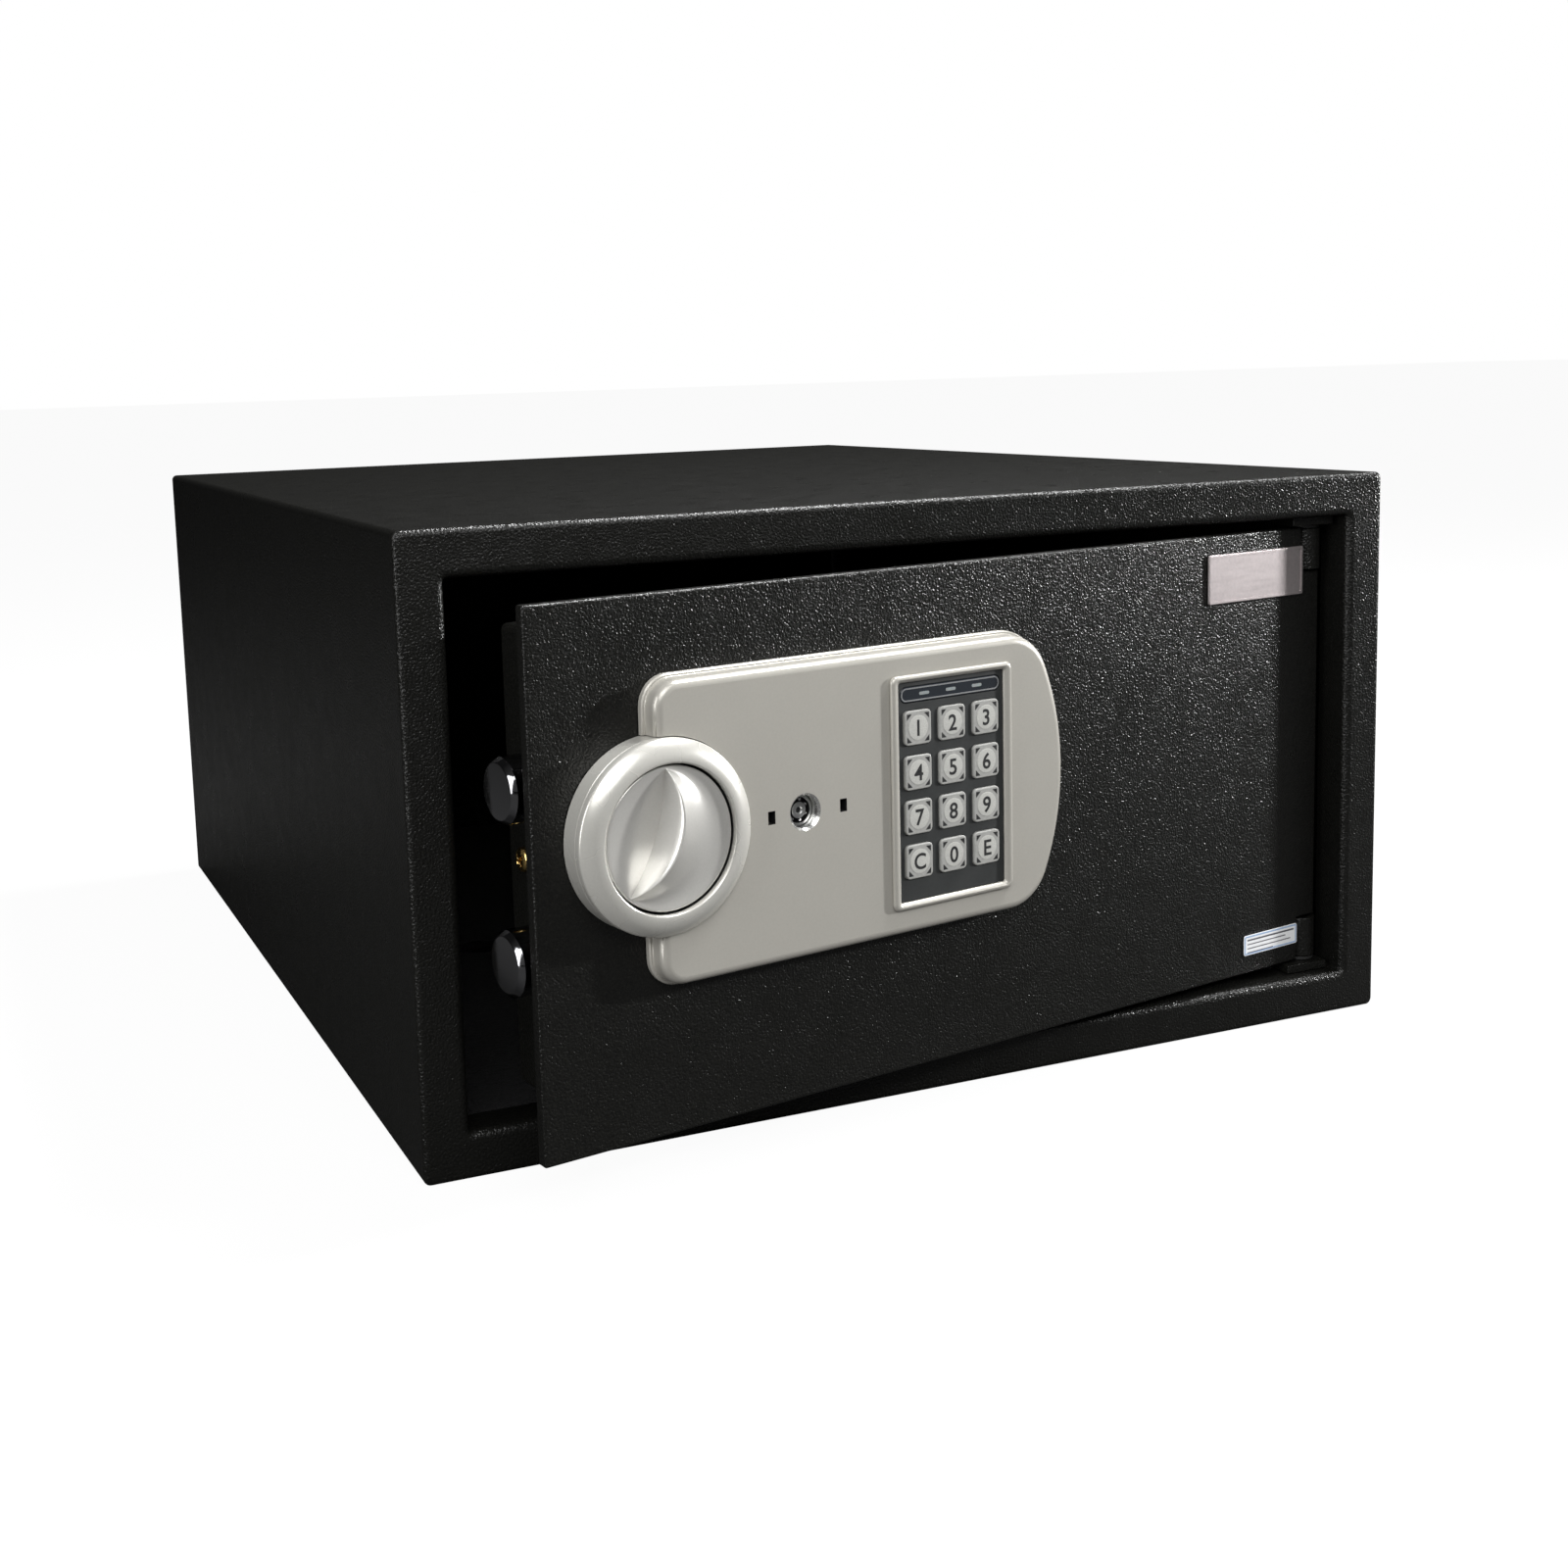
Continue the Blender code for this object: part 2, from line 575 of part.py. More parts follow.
def make_panel():
    panel = on_door(soften_front(
        flat_outline("lock_panel", panel_outline(), GAP, PANEL_RISE, SILVER_PLASTIC), 0.0018, 2))
    flange = on_door(flat_outline("panel_flange", panel_outline(0.0012), GAP, 0.0022,
                                  collection=cutters))
    hollow = on_door(flat_outline("panel_hollow", panel_outline(-PANEL_WALL), -0.005,
                                  PANEL_RISE - PANEL_WALL, collection=cutters))
    join(panel, flange)
    cut(panel, hollow,
        door_rod("ring_seat", KNOB_U, LOCK_Z, (-0.01, 0.03), RING_OUTER + GAP,
                 collection=cutters, sides=64),
        door_rod("key_entry", LOCK_U, LOCK_Z, (0.001, 0.03), 0.0063, collection=cutters, sides=32),
        door_block("pad_hole", (PAD_U - PAD_WIDTH / 2 - GAP, PAD_U + PAD_WIDTH / 2 + GAP),
                   (PAD_Z - PAD_HEIGHT / 2 - GAP, PAD_Z + PAD_HEIGHT / 2 + GAP), (0.001, 0.03),
                   collection=cutters))
    for side, u in (("left", LOCK_U - 0.0123), ("right", LOCK_U + 0.0143)):
        cut(panel, door_block(f"cap_slot_{side}", (u - 0.0013, u + 0.0013),
                              (LOCK_Z - 0.0020, LOCK_Z + 0.0020), (0.001, 0.03),
                              collection=cutters))


def bowed_line(bow):
    """An arc between the fin's tips that bulges by bow past the straight line between them."""
    radius = (FIN_HALF_LENGTH ** 2 + bow ** 2) / (2 * bow)
    reach = asin(FIN_HALF_LENGTH / radius)
    return arc(bow - radius - FIN_TIPS_OFFSET, 0, radius, -reach, reach, 10)


def make_knob():
    """The trim ring, the knob with its crescent fin, and the cam on the knob's spindle."""
    centre = (DOOR_LEFT + KNOB_U, DOOR_FACE, LOCK_Z)
    shoulder = 0.0045
    ring = [(RING_INNER + 0.0012, RING_RISE - 0.0006)]
    ring += [(RING_OUTER - shoulder + shoulder * sin(a), RING_RISE - shoulder + shoulder * cos(a))
             for a in (radians(15 * i) for i in range(7))]
    ring += [(RING_OUTER, GAP), (RING_INNER, GAP), (RING_INNER, RING_RISE - 0.0020)]
    on_door(turned("knob_ring", ring, centre, SILVER_PLASTIC, sides=56))

    dish = [(KNOB_RADIUS * i / 6, 0.0068 + 0.0035 * (i / 6) ** 2) for i in range(6)]
    profile = dish + [(KNOB_RADIUS - 0.0008, KNOB_RIM), (KNOB_RADIUS, KNOB_RIM - 0.0008),
                      (KNOB_RADIUS, 0.0013), (0, 0.0013)]
    knob = on_door(turned("knob", profile, centre, KNOB_SILVER, sides=48))
    crescent = bowed_line(FIN_FAR_BOW) + bowed_line(FIN_NEAR_BOW)[-2:0:-1]
    tilted = [(KNOB_U + u * cos(FIN_TILT) - z * sin(FIN_TILT),
               LOCK_Z + u * sin(FIN_TILT) + z * cos(FIN_TILT)) for u, z in crescent]
    fin = on_door(flat_outline("knob_fin", tilted, 0.004, FIN_TOP, collection=cutters))
    join(knob, fin)

    cam_front = -DOOR_SHEET - 2 * GAP
    cam_back = cam_front - 0.004
    cam = door_rod("knob_cam", KNOB_U, LOCK_Z, (cam_back, cam_front), 0.0108, ZINC, sides=40)
    shaft = door_rod("cam_shaft", KNOB_U, LOCK_Z, (cam_back + 0.001, 0.0010), 0.004,
                     collection=cutters, sides=24)
    crank = THROW_ANGLE / 2
    pin = door_rod("cam_pin", KNOB_U + CRANK_RADIUS * sin(crank),
                   LOCK_Z + CRANK_RADIUS * cos(crank), (-0.0200, cam_back + 0.001), 0.002,
                   collection=cutters, sides=20)
    join(cam, shaft, pin)


def make_key_lock():
    """The override lock: a fixed barrel, a turning tubular-key plug and its cam."""
    centre = (DOOR_LEFT + LOCK_U, DOOR_FACE, LOCK_Z)
    barrel = [(LOCK_BORE, LOCK_FRONT), (LOCK_RADIUS, LOCK_FRONT),
              (LOCK_RADIUS, LOCK_BACK), (LOCK_BORE, LOCK_BACK)]
    on_door(turned("key_lock_barrel", barrel, centre, ZINC, sides=36))
    inner, outer = KEY_GROOVE
    plug = [(0, PLUG_FRONT), (inner, PLUG_FRONT), (inner, GROOVE_FLOOR), (outer, GROOVE_FLOOR),
            (outer, PLUG_FRONT), (PLUG_RADIUS, PLUG_FRONT), (PLUG_RADIUS, PLUG_BACK), (0, PLUG_BACK)]
    on_door(turned("key_lock_plug", plug, centre, ZINC, sides=32))
    door_block("key_lock_cam", (LOCK_U - 0.005, LOCK_U + 0.005), (LOCK_Z - 0.005, LOCK_Z + 0.020),
               (-0.0333, -0.0313), ZINC, round_along=1, radius=0.003, steps=3)


# ---------------------------------------------------------------- keypad

def key_places():
    for row, names in enumerate(KEY_NAMES):
        for column, name in enumerate(names):
            yield name, PAD_U + (column - 1) * KEY_PITCH_U, KEY_TOP_ROW_Z - row * KEY_PITCH_Z


def make_keypad():
    outer_u = PAD_WIDTH / 2 + PAD_BORDER
    outer_z = PAD_HEIGHT / 2 + PAD_BORDER - 0.0007
    inner_u = PAD_WIDTH / 2
    inner_z = PAD_HEIGHT / 2
    rise = PANEL_RISE + GAP
    bezel = door_block("keypad_bezel", (PAD_U - outer_u, PAD_U + outer_u),
                       (PAD_Z - outer_z, PAD_Z + outer_z), (rise, rise + 0.0013), SILVER_PLASTIC,
                       round_along=1, radius=0.002, steps=4)
    cut(bezel, door_block("bezel_hole", (PAD_U - inner_u, PAD_U + inner_u),
                          (PAD_Z - inner_z, PAD_Z + inner_z), (0, 0.03), collection=cutters))

    plate = door_block("keypad_plate", (PAD_U - inner_u, PAD_U + inner_u),
                       (PAD_Z - inner_z, PAD_Z + inner_z), (0.0065, PANEL_RISE), PAD_DARK)
    slack = 0.0003
    for name, u, z in key_places():
        cut(plate, door_block(f"key_hole_{name}",
                              (u - KEY_WIDTH / 2 - slack, u + KEY_WIDTH / 2 + slack),
                              (z - KEY_HEIGHT / 2 - slack, z + KEY_HEIGHT / 2 + slack),
                              (0.005, 0.010), collection=cutters, round_along=1, radius=0.0018,
                              steps=3))
    half = WINDOW_WIDTH / 2
    cut(plate, door_block("window_hole", (PAD_U - half - slack, PAD_U + half + slack),
                          (WINDOW_Z - WINDOW_HEIGHT / 2 - slack,
                           WINDOW_Z + WINDOW_HEIGHT / 2 + slack),
                          (0.005, 0.010), collection=cutters, round_along=1, radius=0.0024,
                          steps=4))
    door_block("indicator_window", (PAD_U - half, PAD_U + half),
               (WINDOW_Z - WINDOW_HEIGHT / 2, WINDOW_Z + WINDOW_HEIGHT / 2), (0.0067, 0.0081),
               SMOKED, round_along=1, radius=0.0022, steps=4)
    for index in range(3):
        u = PAD_U + (index - 1) * 0.0107
        door_block(f"indicator_led_{index + 1}", (u - 0.0017, u + 0.0017),
                   (WINDOW_Z - 0.0008, WINDOW_Z + 0.0008), (0.0027, 0.0064), LED_BODY)

    door_block("key_mat", (PAD_U - inner_u, PAD_U + inner_u),
               (PAD_Z - inner_z, WINDOW_Z - 0.0035), (0.0027, 0.0037), RUBBER)
    door_block("keypad_board", (PAD_U - inner_u, PAD_U + inner_u),
               (PAD_Z - inner_z, PAD_Z + inner_z), (0.0008, 0.0024), BOARD)

    for name, u, z in key_places():
        door_block(f"key_{name}", (u - KEY_WIDTH / 2, u + KEY_WIDTH / 2),
                   (z - KEY_HEIGHT / 2, z + KEY_HEIGHT / 2), (0.0052, 0.0090), KEY_GREY,
                   round_along=1, radius=0.0016, steps=3)


# ---------------------------------------------------------------- bolt work

def bolt_heights():
    return (("upper", BOLT_MID_Z + BOLT_PITCH / 2), ("lower", BOLT_MID_Z - BOLT_PITCH / 2))


def make_bolts():
    y = DOOR_FACE + BOLT_BEHIND_FACE
    tip = DOOR_LEFT - BOLT_TIP_PAST_EDGE
    for name, z in bolt_heights():
        bolt = rod(f"bolt_{name}", (tip + BOLT_LENGTH / 2, y, z), "x", BOLT_LENGTH, BOLT_RADIUS,
                   CHROME, sides=40)
        edit = bmesh.new()
        edit.from_mesh(bolt.data)
        end = min(v.co.x for v in edit.verts)
        rim = [e for e in edit.edges if all(abs(v.co.x - end) < 1e-6 for v in e.verts)]
        bmesh.ops.bevel(edit, geom=rim, offset=BOLT_CHAMFER, segments=1, affect="EDGES")
        edit.to_mesh(bolt.data)
        edit.free()
        on_door(bolt)

    low = BOLT_MID_Z - 0.037
    high = BOLT_MID_Z + 0.037
    flange = BOLT_LENGTH - BOLT_TIP_PAST_EDGE + GAP
    web = BOLT_BEHIND_FACE - 0.00125
    carriage = door_block("bolt_carriage", (flange, flange + 0.0025), (low, high),
                          (-0.0250, -0.0092), ZINC)
    join(carriage, door_block("carriage_web", (flange + 0.002, 0.0695), (low, high),
                              (-web - 0.0025, -web), collection=cutters))
    pin_u = KNOB_U + CRANK_RADIUS * sin(THROW_ANGLE / 2)
    pin_low = LOCK_Z + CRANK_RADIUS * cos(THROW_ANGLE / 2)
    cut(carriage, door_block("crank_slot", (pin_u - 0.0025, pin_u + 0.0025),
                             (pin_low - 0.0027, LOCK_Z + CRANK_RADIUS + 0.0027), (-0.03, 0),
                             collection=cutters))
    for name, u in (("open", PLUNGER_U), ("locked", PLUNGER_U + THROW)):
        cut(carriage, door_block(f"plunger_notch_{name}", (u - 0.0033, u + 0.0033),
                                 (high - 0.0065, high + 0.01), (-0.03, 0), collection=cutters))

    guide = door_block("bolt_guide", (0.0195, 0.0225), (BOLT_MID_Z - 0.043, BOLT_MID_Z + 0.043),
                       (-0.0290, -DOOR_SHEET - GAP), ZINC)
    join(guide, door_block("guide_foot", (0.0166, 0.0200),
                           (BOLT_MID_Z - 0.043, BOLT_MID_Z + 0.043),
                           (-DOOR_SHEET - GAP - 0.002, -DOOR_SHEET - GAP), collection=cutters))
    for name, z in bolt_heights():
        cut(guide, on_door(rod(f"guide_hole_{name}", (DOOR_LEFT + 0.021, y, z), "x", 0.012,
                               BOLT_RADIUS + 0.0004, collection=cutters, sides=40)))


def make_solenoid():
    """The solenoid that frees the bolts: its frame and coil, plunger and return spring."""
    y = DOOR_FACE + BOLT_BEHIND_FACE
    x = DOOR_LEFT + PLUNGER_U
    top = DOOR_TOP - COVER_INSET_Z - COVER_SHEET - 0.0008
    bottom = 0.151
    body = door_block("solenoid", (PLUNGER_U - 0.011, PLUNGER_U + 0.011), (bottom, top),
                      (-0.0265, -DOOR_SHEET - GAP), ZINC)
    cut(body, on_door(rod("plunger_bore", (x, y, bottom + 0.006), "z", 0.020,
                          PLUNGER_RADIUS + 0.0004, collection=cutters, sides=24)))
    tip = 0.1385
    length = 0.0265
    plunger = on_door(rod("solenoid_plunger", (x, y, tip + length / 2), "z", length,
                          PLUNGER_RADIUS, CHROME, sides=24))
    collar_z = 0.1445
    join(plunger, on_door(rod("plunger_collar", (x, y, collar_z), "z", 0.001, 0.0045,
                              collection=cutters, sides=24)))

    turns = 5
    steps = 12
    start = collar_z + 0.0005 + GAP + 0.00035
    rise = bottom - GAP - 0.00035 - start
    curve = bpy.data.curves.new("plunger_spring", "CURVE")
    curve.dimensions = "3D"
    curve.bevel_depth = 0.00035
    curve.bevel_resolution = 2
    curve.use_fill_caps = True
    spline = curve.splines.new("POLY")
    spline.points.add(turns * steps)
    for index, point in enumerate(spline.points):
        angle = 2 * pi * index / steps
        height = rise * index / (turns * steps)
        point.co = (0.0036 * cos(angle), 0.0036 * sin(angle), height, 1)
    spring = bpy.data.objects.new("plunger_spring", curve)
    spring.location = (x, y, start)
    curve.materials.append(SPRING_STEEL)
    safe_parts.objects.link(spring)
    on_door(spring)


make_cabinet()
make_hinge("lower", OPEN_BOTTOM, 1)
make_hinge("upper", OPEN_TOP, -1)
make_door_plate()
make_nameplate()
make_inner_cover()
make_electronics()
make_panel()
make_knob()
make_key_lock()
make_keypad()
make_bolts()
make_solenoid()
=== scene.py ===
"""The looks of an in-room hotel safe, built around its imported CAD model.

Metres, +Z up, front towards -Y.
"""
import json
from math import atan2, cos, pi, radians, sin, sqrt

import bmesh
import bpy
from mathutils import Matrix, Vector


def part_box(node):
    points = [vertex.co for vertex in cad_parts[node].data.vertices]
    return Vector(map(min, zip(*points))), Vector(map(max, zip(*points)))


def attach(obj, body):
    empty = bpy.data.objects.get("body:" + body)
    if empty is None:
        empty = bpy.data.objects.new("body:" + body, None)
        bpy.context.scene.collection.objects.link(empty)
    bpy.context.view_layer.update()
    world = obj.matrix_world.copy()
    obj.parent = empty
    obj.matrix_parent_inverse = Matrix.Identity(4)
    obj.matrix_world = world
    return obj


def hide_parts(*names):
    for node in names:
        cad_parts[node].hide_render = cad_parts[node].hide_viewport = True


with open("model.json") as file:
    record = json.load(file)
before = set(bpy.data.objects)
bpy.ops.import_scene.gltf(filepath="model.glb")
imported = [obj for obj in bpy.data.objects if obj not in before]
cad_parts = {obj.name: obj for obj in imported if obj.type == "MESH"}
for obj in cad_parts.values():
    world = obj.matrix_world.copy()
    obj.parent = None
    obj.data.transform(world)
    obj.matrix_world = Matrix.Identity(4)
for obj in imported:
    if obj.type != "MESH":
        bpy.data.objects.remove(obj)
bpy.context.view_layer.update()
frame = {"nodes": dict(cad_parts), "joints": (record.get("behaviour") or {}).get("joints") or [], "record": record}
nodes = frame["nodes"]
joints = {joint["name"]: joint for joint in frame["joints"]}
slot_of = {part["node"]: part["material_slot"] for part in frame["record"]["subparts"]}

MM = 0.001
NOISE_LOW, NOISE_HIGH = 0.3, 0.7
SHARP_ANGLE = radians(38)
CUT_MERGE = 2e-6
CUT_FLAT_ANGLE = radians(0.1)
MANY_SIDED = 12
FACING_AXIS = 0.9999
ANCHOR_HALF_SPREAD = 0.100


# ---------------------------------------------------------------- the door's own directions
# Door pieces use u, the distance from the door's free edge, z, the height, and n, the distance
# in front of the door's face. The door stands a little open, so u and n are turned about Z.

HINGE = Vector(joints["door_hinge"]["pos_m"]).to_2d().to_3d()
OPENING = -radians(joints["door_hinge"]["range_deg"][0])
ALONG = Vector((cos(OPENING), sin(OPENING), 0))
OUTWARD = Vector((sin(OPENING), -cos(OPENING), 0))
UP = Vector((0, 0, 1))


def plate_corner():
    """The door's free edge on its front face, at floor height."""
    edge = min((v.co for v in nodes["door_plate"].data.vertices), key=lambda p: p.dot(ALONG))
    front = max(v.co.dot(OUTWARD) for v in nodes["door_plate"].data.vertices)
    start = Vector((edge.x, edge.y, 0))
    return start + OUTWARD * (front - start.dot(OUTWARD))


DOOR_CORNER = plate_corner()
DOOR = Matrix((
    (ALONG.x, 0, OUTWARD.x, DOOR_CORNER.x),
    (ALONG.y, 0, OUTWARD.y, DOOR_CORNER.y),
    (0, 1, 0, 0),
    (0, 0, 0, 1)))


def span(node):
    """A door node's lowest and highest (u, z, n)."""
    back = DOOR.inverted()
    points = [back @ v.co for v in nodes[node].data.vertices]
    low = Vector(min(p[i] for p in points) for i in range(3))
    high = Vector(max(p[i] for p in points) for i in range(3))
    return low, high


# ---------------------------------------------------------------- materials

class Recipe:
    """A Principled material with helpers for the usual texture nodes."""

    def __init__(self, name, colour, roughness, metallic=0.0):
        self.material = bpy.data.materials.new(name)
        self.material.use_nodes = True
        self.tree = self.material.node_tree
        self.shader = self.tree.nodes["Principled BSDF"]
        self.colour = colour
        self.roughness = roughness
        self.set("Base Color", (*colour, 1))
        self.set("Roughness", roughness)
        self.set("Metallic", metallic)
        self.material.diffuse_color = (*colour, 1)
        self.place = self.tree.nodes.new("ShaderNodeTexCoord").outputs["Object"]
        self.height = None

    def set(self, socket, value):
        self.shader.inputs[socket].default_value = value
        return self

    def node(self, kind, **values):
        made = self.tree.nodes.new(kind)
        for key, value in values.items():
            if key in made.inputs:
                made.inputs[key].default_value = value
            else:
                setattr(made, key, value)
        return made

    def link(self, output, socket):
        self.tree.links.new(output, socket)
        return self

    def stretched(self, scale):
        mapping = self.node("ShaderNodeMapping")
        mapping.inputs["Scale"].default_value = scale
        self.link(self.place, mapping.inputs["Vector"])
        return mapping.outputs["Vector"]

    def noise(self, scale, detail=3.0, rough=0.5, stretch=None, distortion=0.0):
        made = self.node("ShaderNodeTexNoise", Scale=scale, Detail=detail, Roughness=rough,
                         Distortion=distortion)
        self.link(self.stretched(stretch) if stretch else self.place, made.inputs["Vector"])
        return made.outputs["Fac"]

    def cells(self, scale, feature="F1", stretch=None):
        made = self.node("ShaderNodeTexVoronoi", Scale=scale)
        made.feature = feature
        self.link(self.stretched(stretch) if stretch else self.place, made.inputs["Vector"])
        return made.outputs["Distance"]

    def remap(self, value, low, high, to_low, to_high):
        made = self.node("ShaderNodeMapRange")
        for key, number in (("From Min", low), ("From Max", high), ("To Min", to_low),
                            ("To Max", to_high)):
            made.inputs[key].default_value = number
        self.link(value, made.inputs["Value"])
        return made.outputs["Result"]

    def colours(self, value, *stops):
        """A colour ramp over (position, colour) stops, into the base colour."""
        made = self.node("ShaderNodeValToRGB")
        ramp = made.color_ramp
        while len(ramp.elements) < len(stops):
            ramp.elements.new(0.5)
        for element, (position, colour) in zip(ramp.elements, stops):
            element.position = position
            element.color = (*colour, 1)
        self.link(value, made.inputs["Fac"])
        self.link(made.outputs["Color"], self.shader.inputs["Base Color"])
        return self

    def tinted(self, value, spread, tint=(1, 1, 1)):
        """The base colour varied by a share of itself between the value's low and high parts."""
        dark = tuple(c * (1 - spread) for c in self.colour)
        light = tuple(min(c * (1 + spread) * t, 1) for c, t in zip(self.colour, tint))
        return self.colours(value, (NOISE_LOW, dark), (NOISE_HIGH, light))

    def rough(self, value, spread):
        low = max(self.roughness - spread, 0.02)
        return self.link(self.remap(value, NOISE_LOW, NOISE_HIGH, low, self.roughness + spread),
                         self.shader.inputs["Roughness"])

    def bump(self, value, depth, strength=1.0):
        """One more layer of relief, depth in metres, under what is there already."""
        made = self.node("ShaderNodeBump", Strength=strength, Distance=depth)
        self.link(value, made.inputs["Height"])
        if self.height:
            self.link(self.height, made.inputs["Normal"])
        self.height = made.outputs["Normal"]
        return self.link(self.height, self.shader.inputs["Normal"])


def powder_coat():
    """Black powder coat with a fine pebbled texture."""
    look = Recipe("powder_coat", (0.0058, 0.0058, 0.0052), 0.30)
    look.set("Specular IOR Level", 0.32)
    look.tinted(look.noise(1350, detail=1.0), 0.30, (1.05, 1.05, 1.0))
    look.rough(look.noise(90, detail=5.0, rough=0.65), 0.04)
    look.bump(look.noise(1350, detail=1.0, rough=0.5), 0.00034, 1.0)
    look.bump(look.noise(160, detail=2.0), 0.00010, 0.12)
    return look.material


def silver_paint(name, colour, roughness, metallic):
    """Satin silver lacquer on moulded plastic, with a slight orange peel."""
    look = Recipe(name, colour, roughness, metallic)
    look.set("Specular IOR Level", 0.5)
    look.tinted(look.noise(1500, detail=1.0), 0.02)
    look.rough(look.noise(70, detail=2.0), 0.02)
    look.bump(look.noise(420, detail=1.0), 0.00002, 0.06)
    return look.material


def chrome():
    look = Recipe("chrome_plate", (0.25, 0.25, 0.26), 0.08, 1.0)
    look.tinted(look.noise(40, detail=3.0), 0.03)
    look.rough(look.noise(260, detail=5.0, rough=0.7), 0.035)
    look.bump(look.noise(900, detail=3.0, stretch=(0.15, 1, 1)), 0.00001, 0.20)
    return look.material


def chrome_liner():
    """Bright rim plate round the key hole."""
    look = Recipe("key_hole_liner", (0.82, 0.82, 0.80), 0.18, 0.9)
    look.tinted(look.noise(900, detail=3.0), 0.05)
    look.rough(look.noise(1500), 0.05)
    return look.material


def zinc():
    """Bright zinc plate, drawn along its length, with a faint yellow and blue passivation."""
    look = Recipe("zinc_plate", (0.50, 0.50, 0.485), 0.36, 1.0)
    look.colours(look.noise(60, detail=4.0, rough=0.6),
                 (0.30, (0.42, 0.43, 0.45)), (0.52, (0.53, 0.53, 0.50)),
                 (0.75, (0.56, 0.53, 0.44)))
    look.rough(look.noise(500, detail=3.0, stretch=(0.12, 1, 1)), 0.08)
    look.bump(look.noise(1500, detail=3.0, stretch=(0.08, 1, 1)), 0.00002, 0.40)
    return look.material


def brass():
    look = Recipe("plain_brass", (0.62, 0.43, 0.16), 0.24, 1.0)
    look.tinted(look.noise(400, detail=4.0), 0.12)
    look.rough(look.noise(900, detail=3.0), 0.08)
    look.bump(look.noise(2400, detail=2.0), 0.00002, 0.30)
    return look.material


def fine_plastic(name, colour, roughness, grain=2200, depth=0.00003, spread=0.08):
    """Moulded plastic with a fine spark-eroded grain."""
    look = Recipe(name, colour, roughness)
    look.tinted(look.noise(900, detail=3.0), spread)
    look.rough(look.noise(120, detail=4.0), 0.05)
    look.bump(look.noise(grain, detail=2.0), depth, 0.5)
    return look.material


def smoked_window():
    look = Recipe("smoked_window", (0.020, 0.024, 0.030), 0.10)
    look.tinted(look.noise(50, detail=2.0), 0.15)
    look.rough(look.noise(600, detail=4.0), 0.03)
    look.set("Coat Weight", 0.4)
    return look.material


def led_epoxy():
    look = Recipe("led_epoxy", (0.30, 0.31, 0.31), 0.22)
    look.set("Subsurface Weight", 0.15)
    look.set("Subsurface Scale", 0.001)
    look.tinted(look.noise(1500, detail=2.0), 0.06)
    look.bump(look.noise(2500), 0.00001, 0.2)
    return look.material


def circuit_board():
    """Green solder mask over copper tracks, which show as lighter, raised lines."""
    look = Recipe("circuit_board", (0.010, 0.085, 0.030), 0.32)
    tracks = look.node("ShaderNodeTexBrick", Scale=160.0, Bias=-0.2)
    tracks.inputs["Mortar Size"].default_value = 0.06
    tracks.inputs["Mortar Smooth"].default_value = 0.2
    look.link(look.place, tracks.inputs["Vector"])
    look.colours(tracks.outputs["Fac"], (0.1, (0.007, 0.065, 0.022)), (0.9, (0.030, 0.17, 0.055)))
    look.rough(look.noise(300), 0.06)
    look.bump(tracks.outputs["Fac"], 0.00004, 0.6)
    return look.material


def battery_sleeve():
    """A dark printed sleeve with a copper-coloured band, both plain."""
    look = Recipe("battery_sleeve", (0.03, 0.03, 0.033), 0.25)
    along = look.node("ShaderNodeVectorMath")
    along.operation = "DOT_PRODUCT"
    look.link(look.place, along.inputs[0])
    along.inputs[1].default_value = ALONG
    start = min(v.co.dot(ALONG) for v in nodes["battery_1"].data.vertices)
    share = look.remap(along.outputs["Value"], start, start + 50.5 * MM, 0.0, 1.0)
    look.colours(share, (0.0, (0.42, 0.19, 0.08)), (0.27, (0.45, 0.21, 0.09)),
                 (0.28, (0.022, 0.022, 0.025)), (1.0, (0.030, 0.030, 0.033)))
    look.rough(look.noise(400), 0.05)
    look.bump(look.noise(1200), 0.00001, 0.2)
    return look.material


def brushed_nameplate():
    look = Recipe("nameplate_aluminium", (0.56, 0.51, 0.51), 0.42, 0.9)
    look.tinted(look.noise(700, detail=4.0, rough=0.7), 0.09, (1.0, 0.99, 0.99))
    look.rough(look.noise(900, detail=3.0, stretch=(0.06, 0.06, 1)), 0.02)
    look.bump(look.noise(1400, detail=2.0), 0.00002, 0.25)
    return look.material


def felt():
    """Dark grey needle felt: matted fibres and small tufts."""
    look = Recipe("needle_felt", (0.045, 0.045, 0.050), 0.95)
    look.set("Specular IOR Level", 0.15)
    look.set("Sheen Weight", 0.06)
    look.set("Sheen Roughness", 0.5)
    fibres = look.noise(900, detail=6.0, rough=0.75, stretch=(1, 0.35, 1), distortion=1.2)
    look.colours(fibres, (0.30, (0.005, 0.005, 0.006)), (0.55, (0.013, 0.013, 0.014)),
                 (0.80, (0.032, 0.032, 0.034)))
    look.bump(fibres, 0.0009, 0.9)
    look.bump(look.cells(420), 0.0005, 0.5)
    return look.material


def spring_steel():
    look = Recipe("spring_steel", (0.58, 0.58, 0.58), 0.22, 1.0)
    look.tinted(look.noise(800, detail=3.0), 0.08)
    look.rough(look.noise(1500), 0.05)
    look.bump(look.noise(3000), 0.00001, 0.3)
    return look.material


def ink(name, colour, roughness):
    look = Recipe(name, colour, roughness)
    look.tinted(look.noise(3000, detail=2.0), 0.12)
    look.rough(look.noise(1500), 0.04)
    return look.material


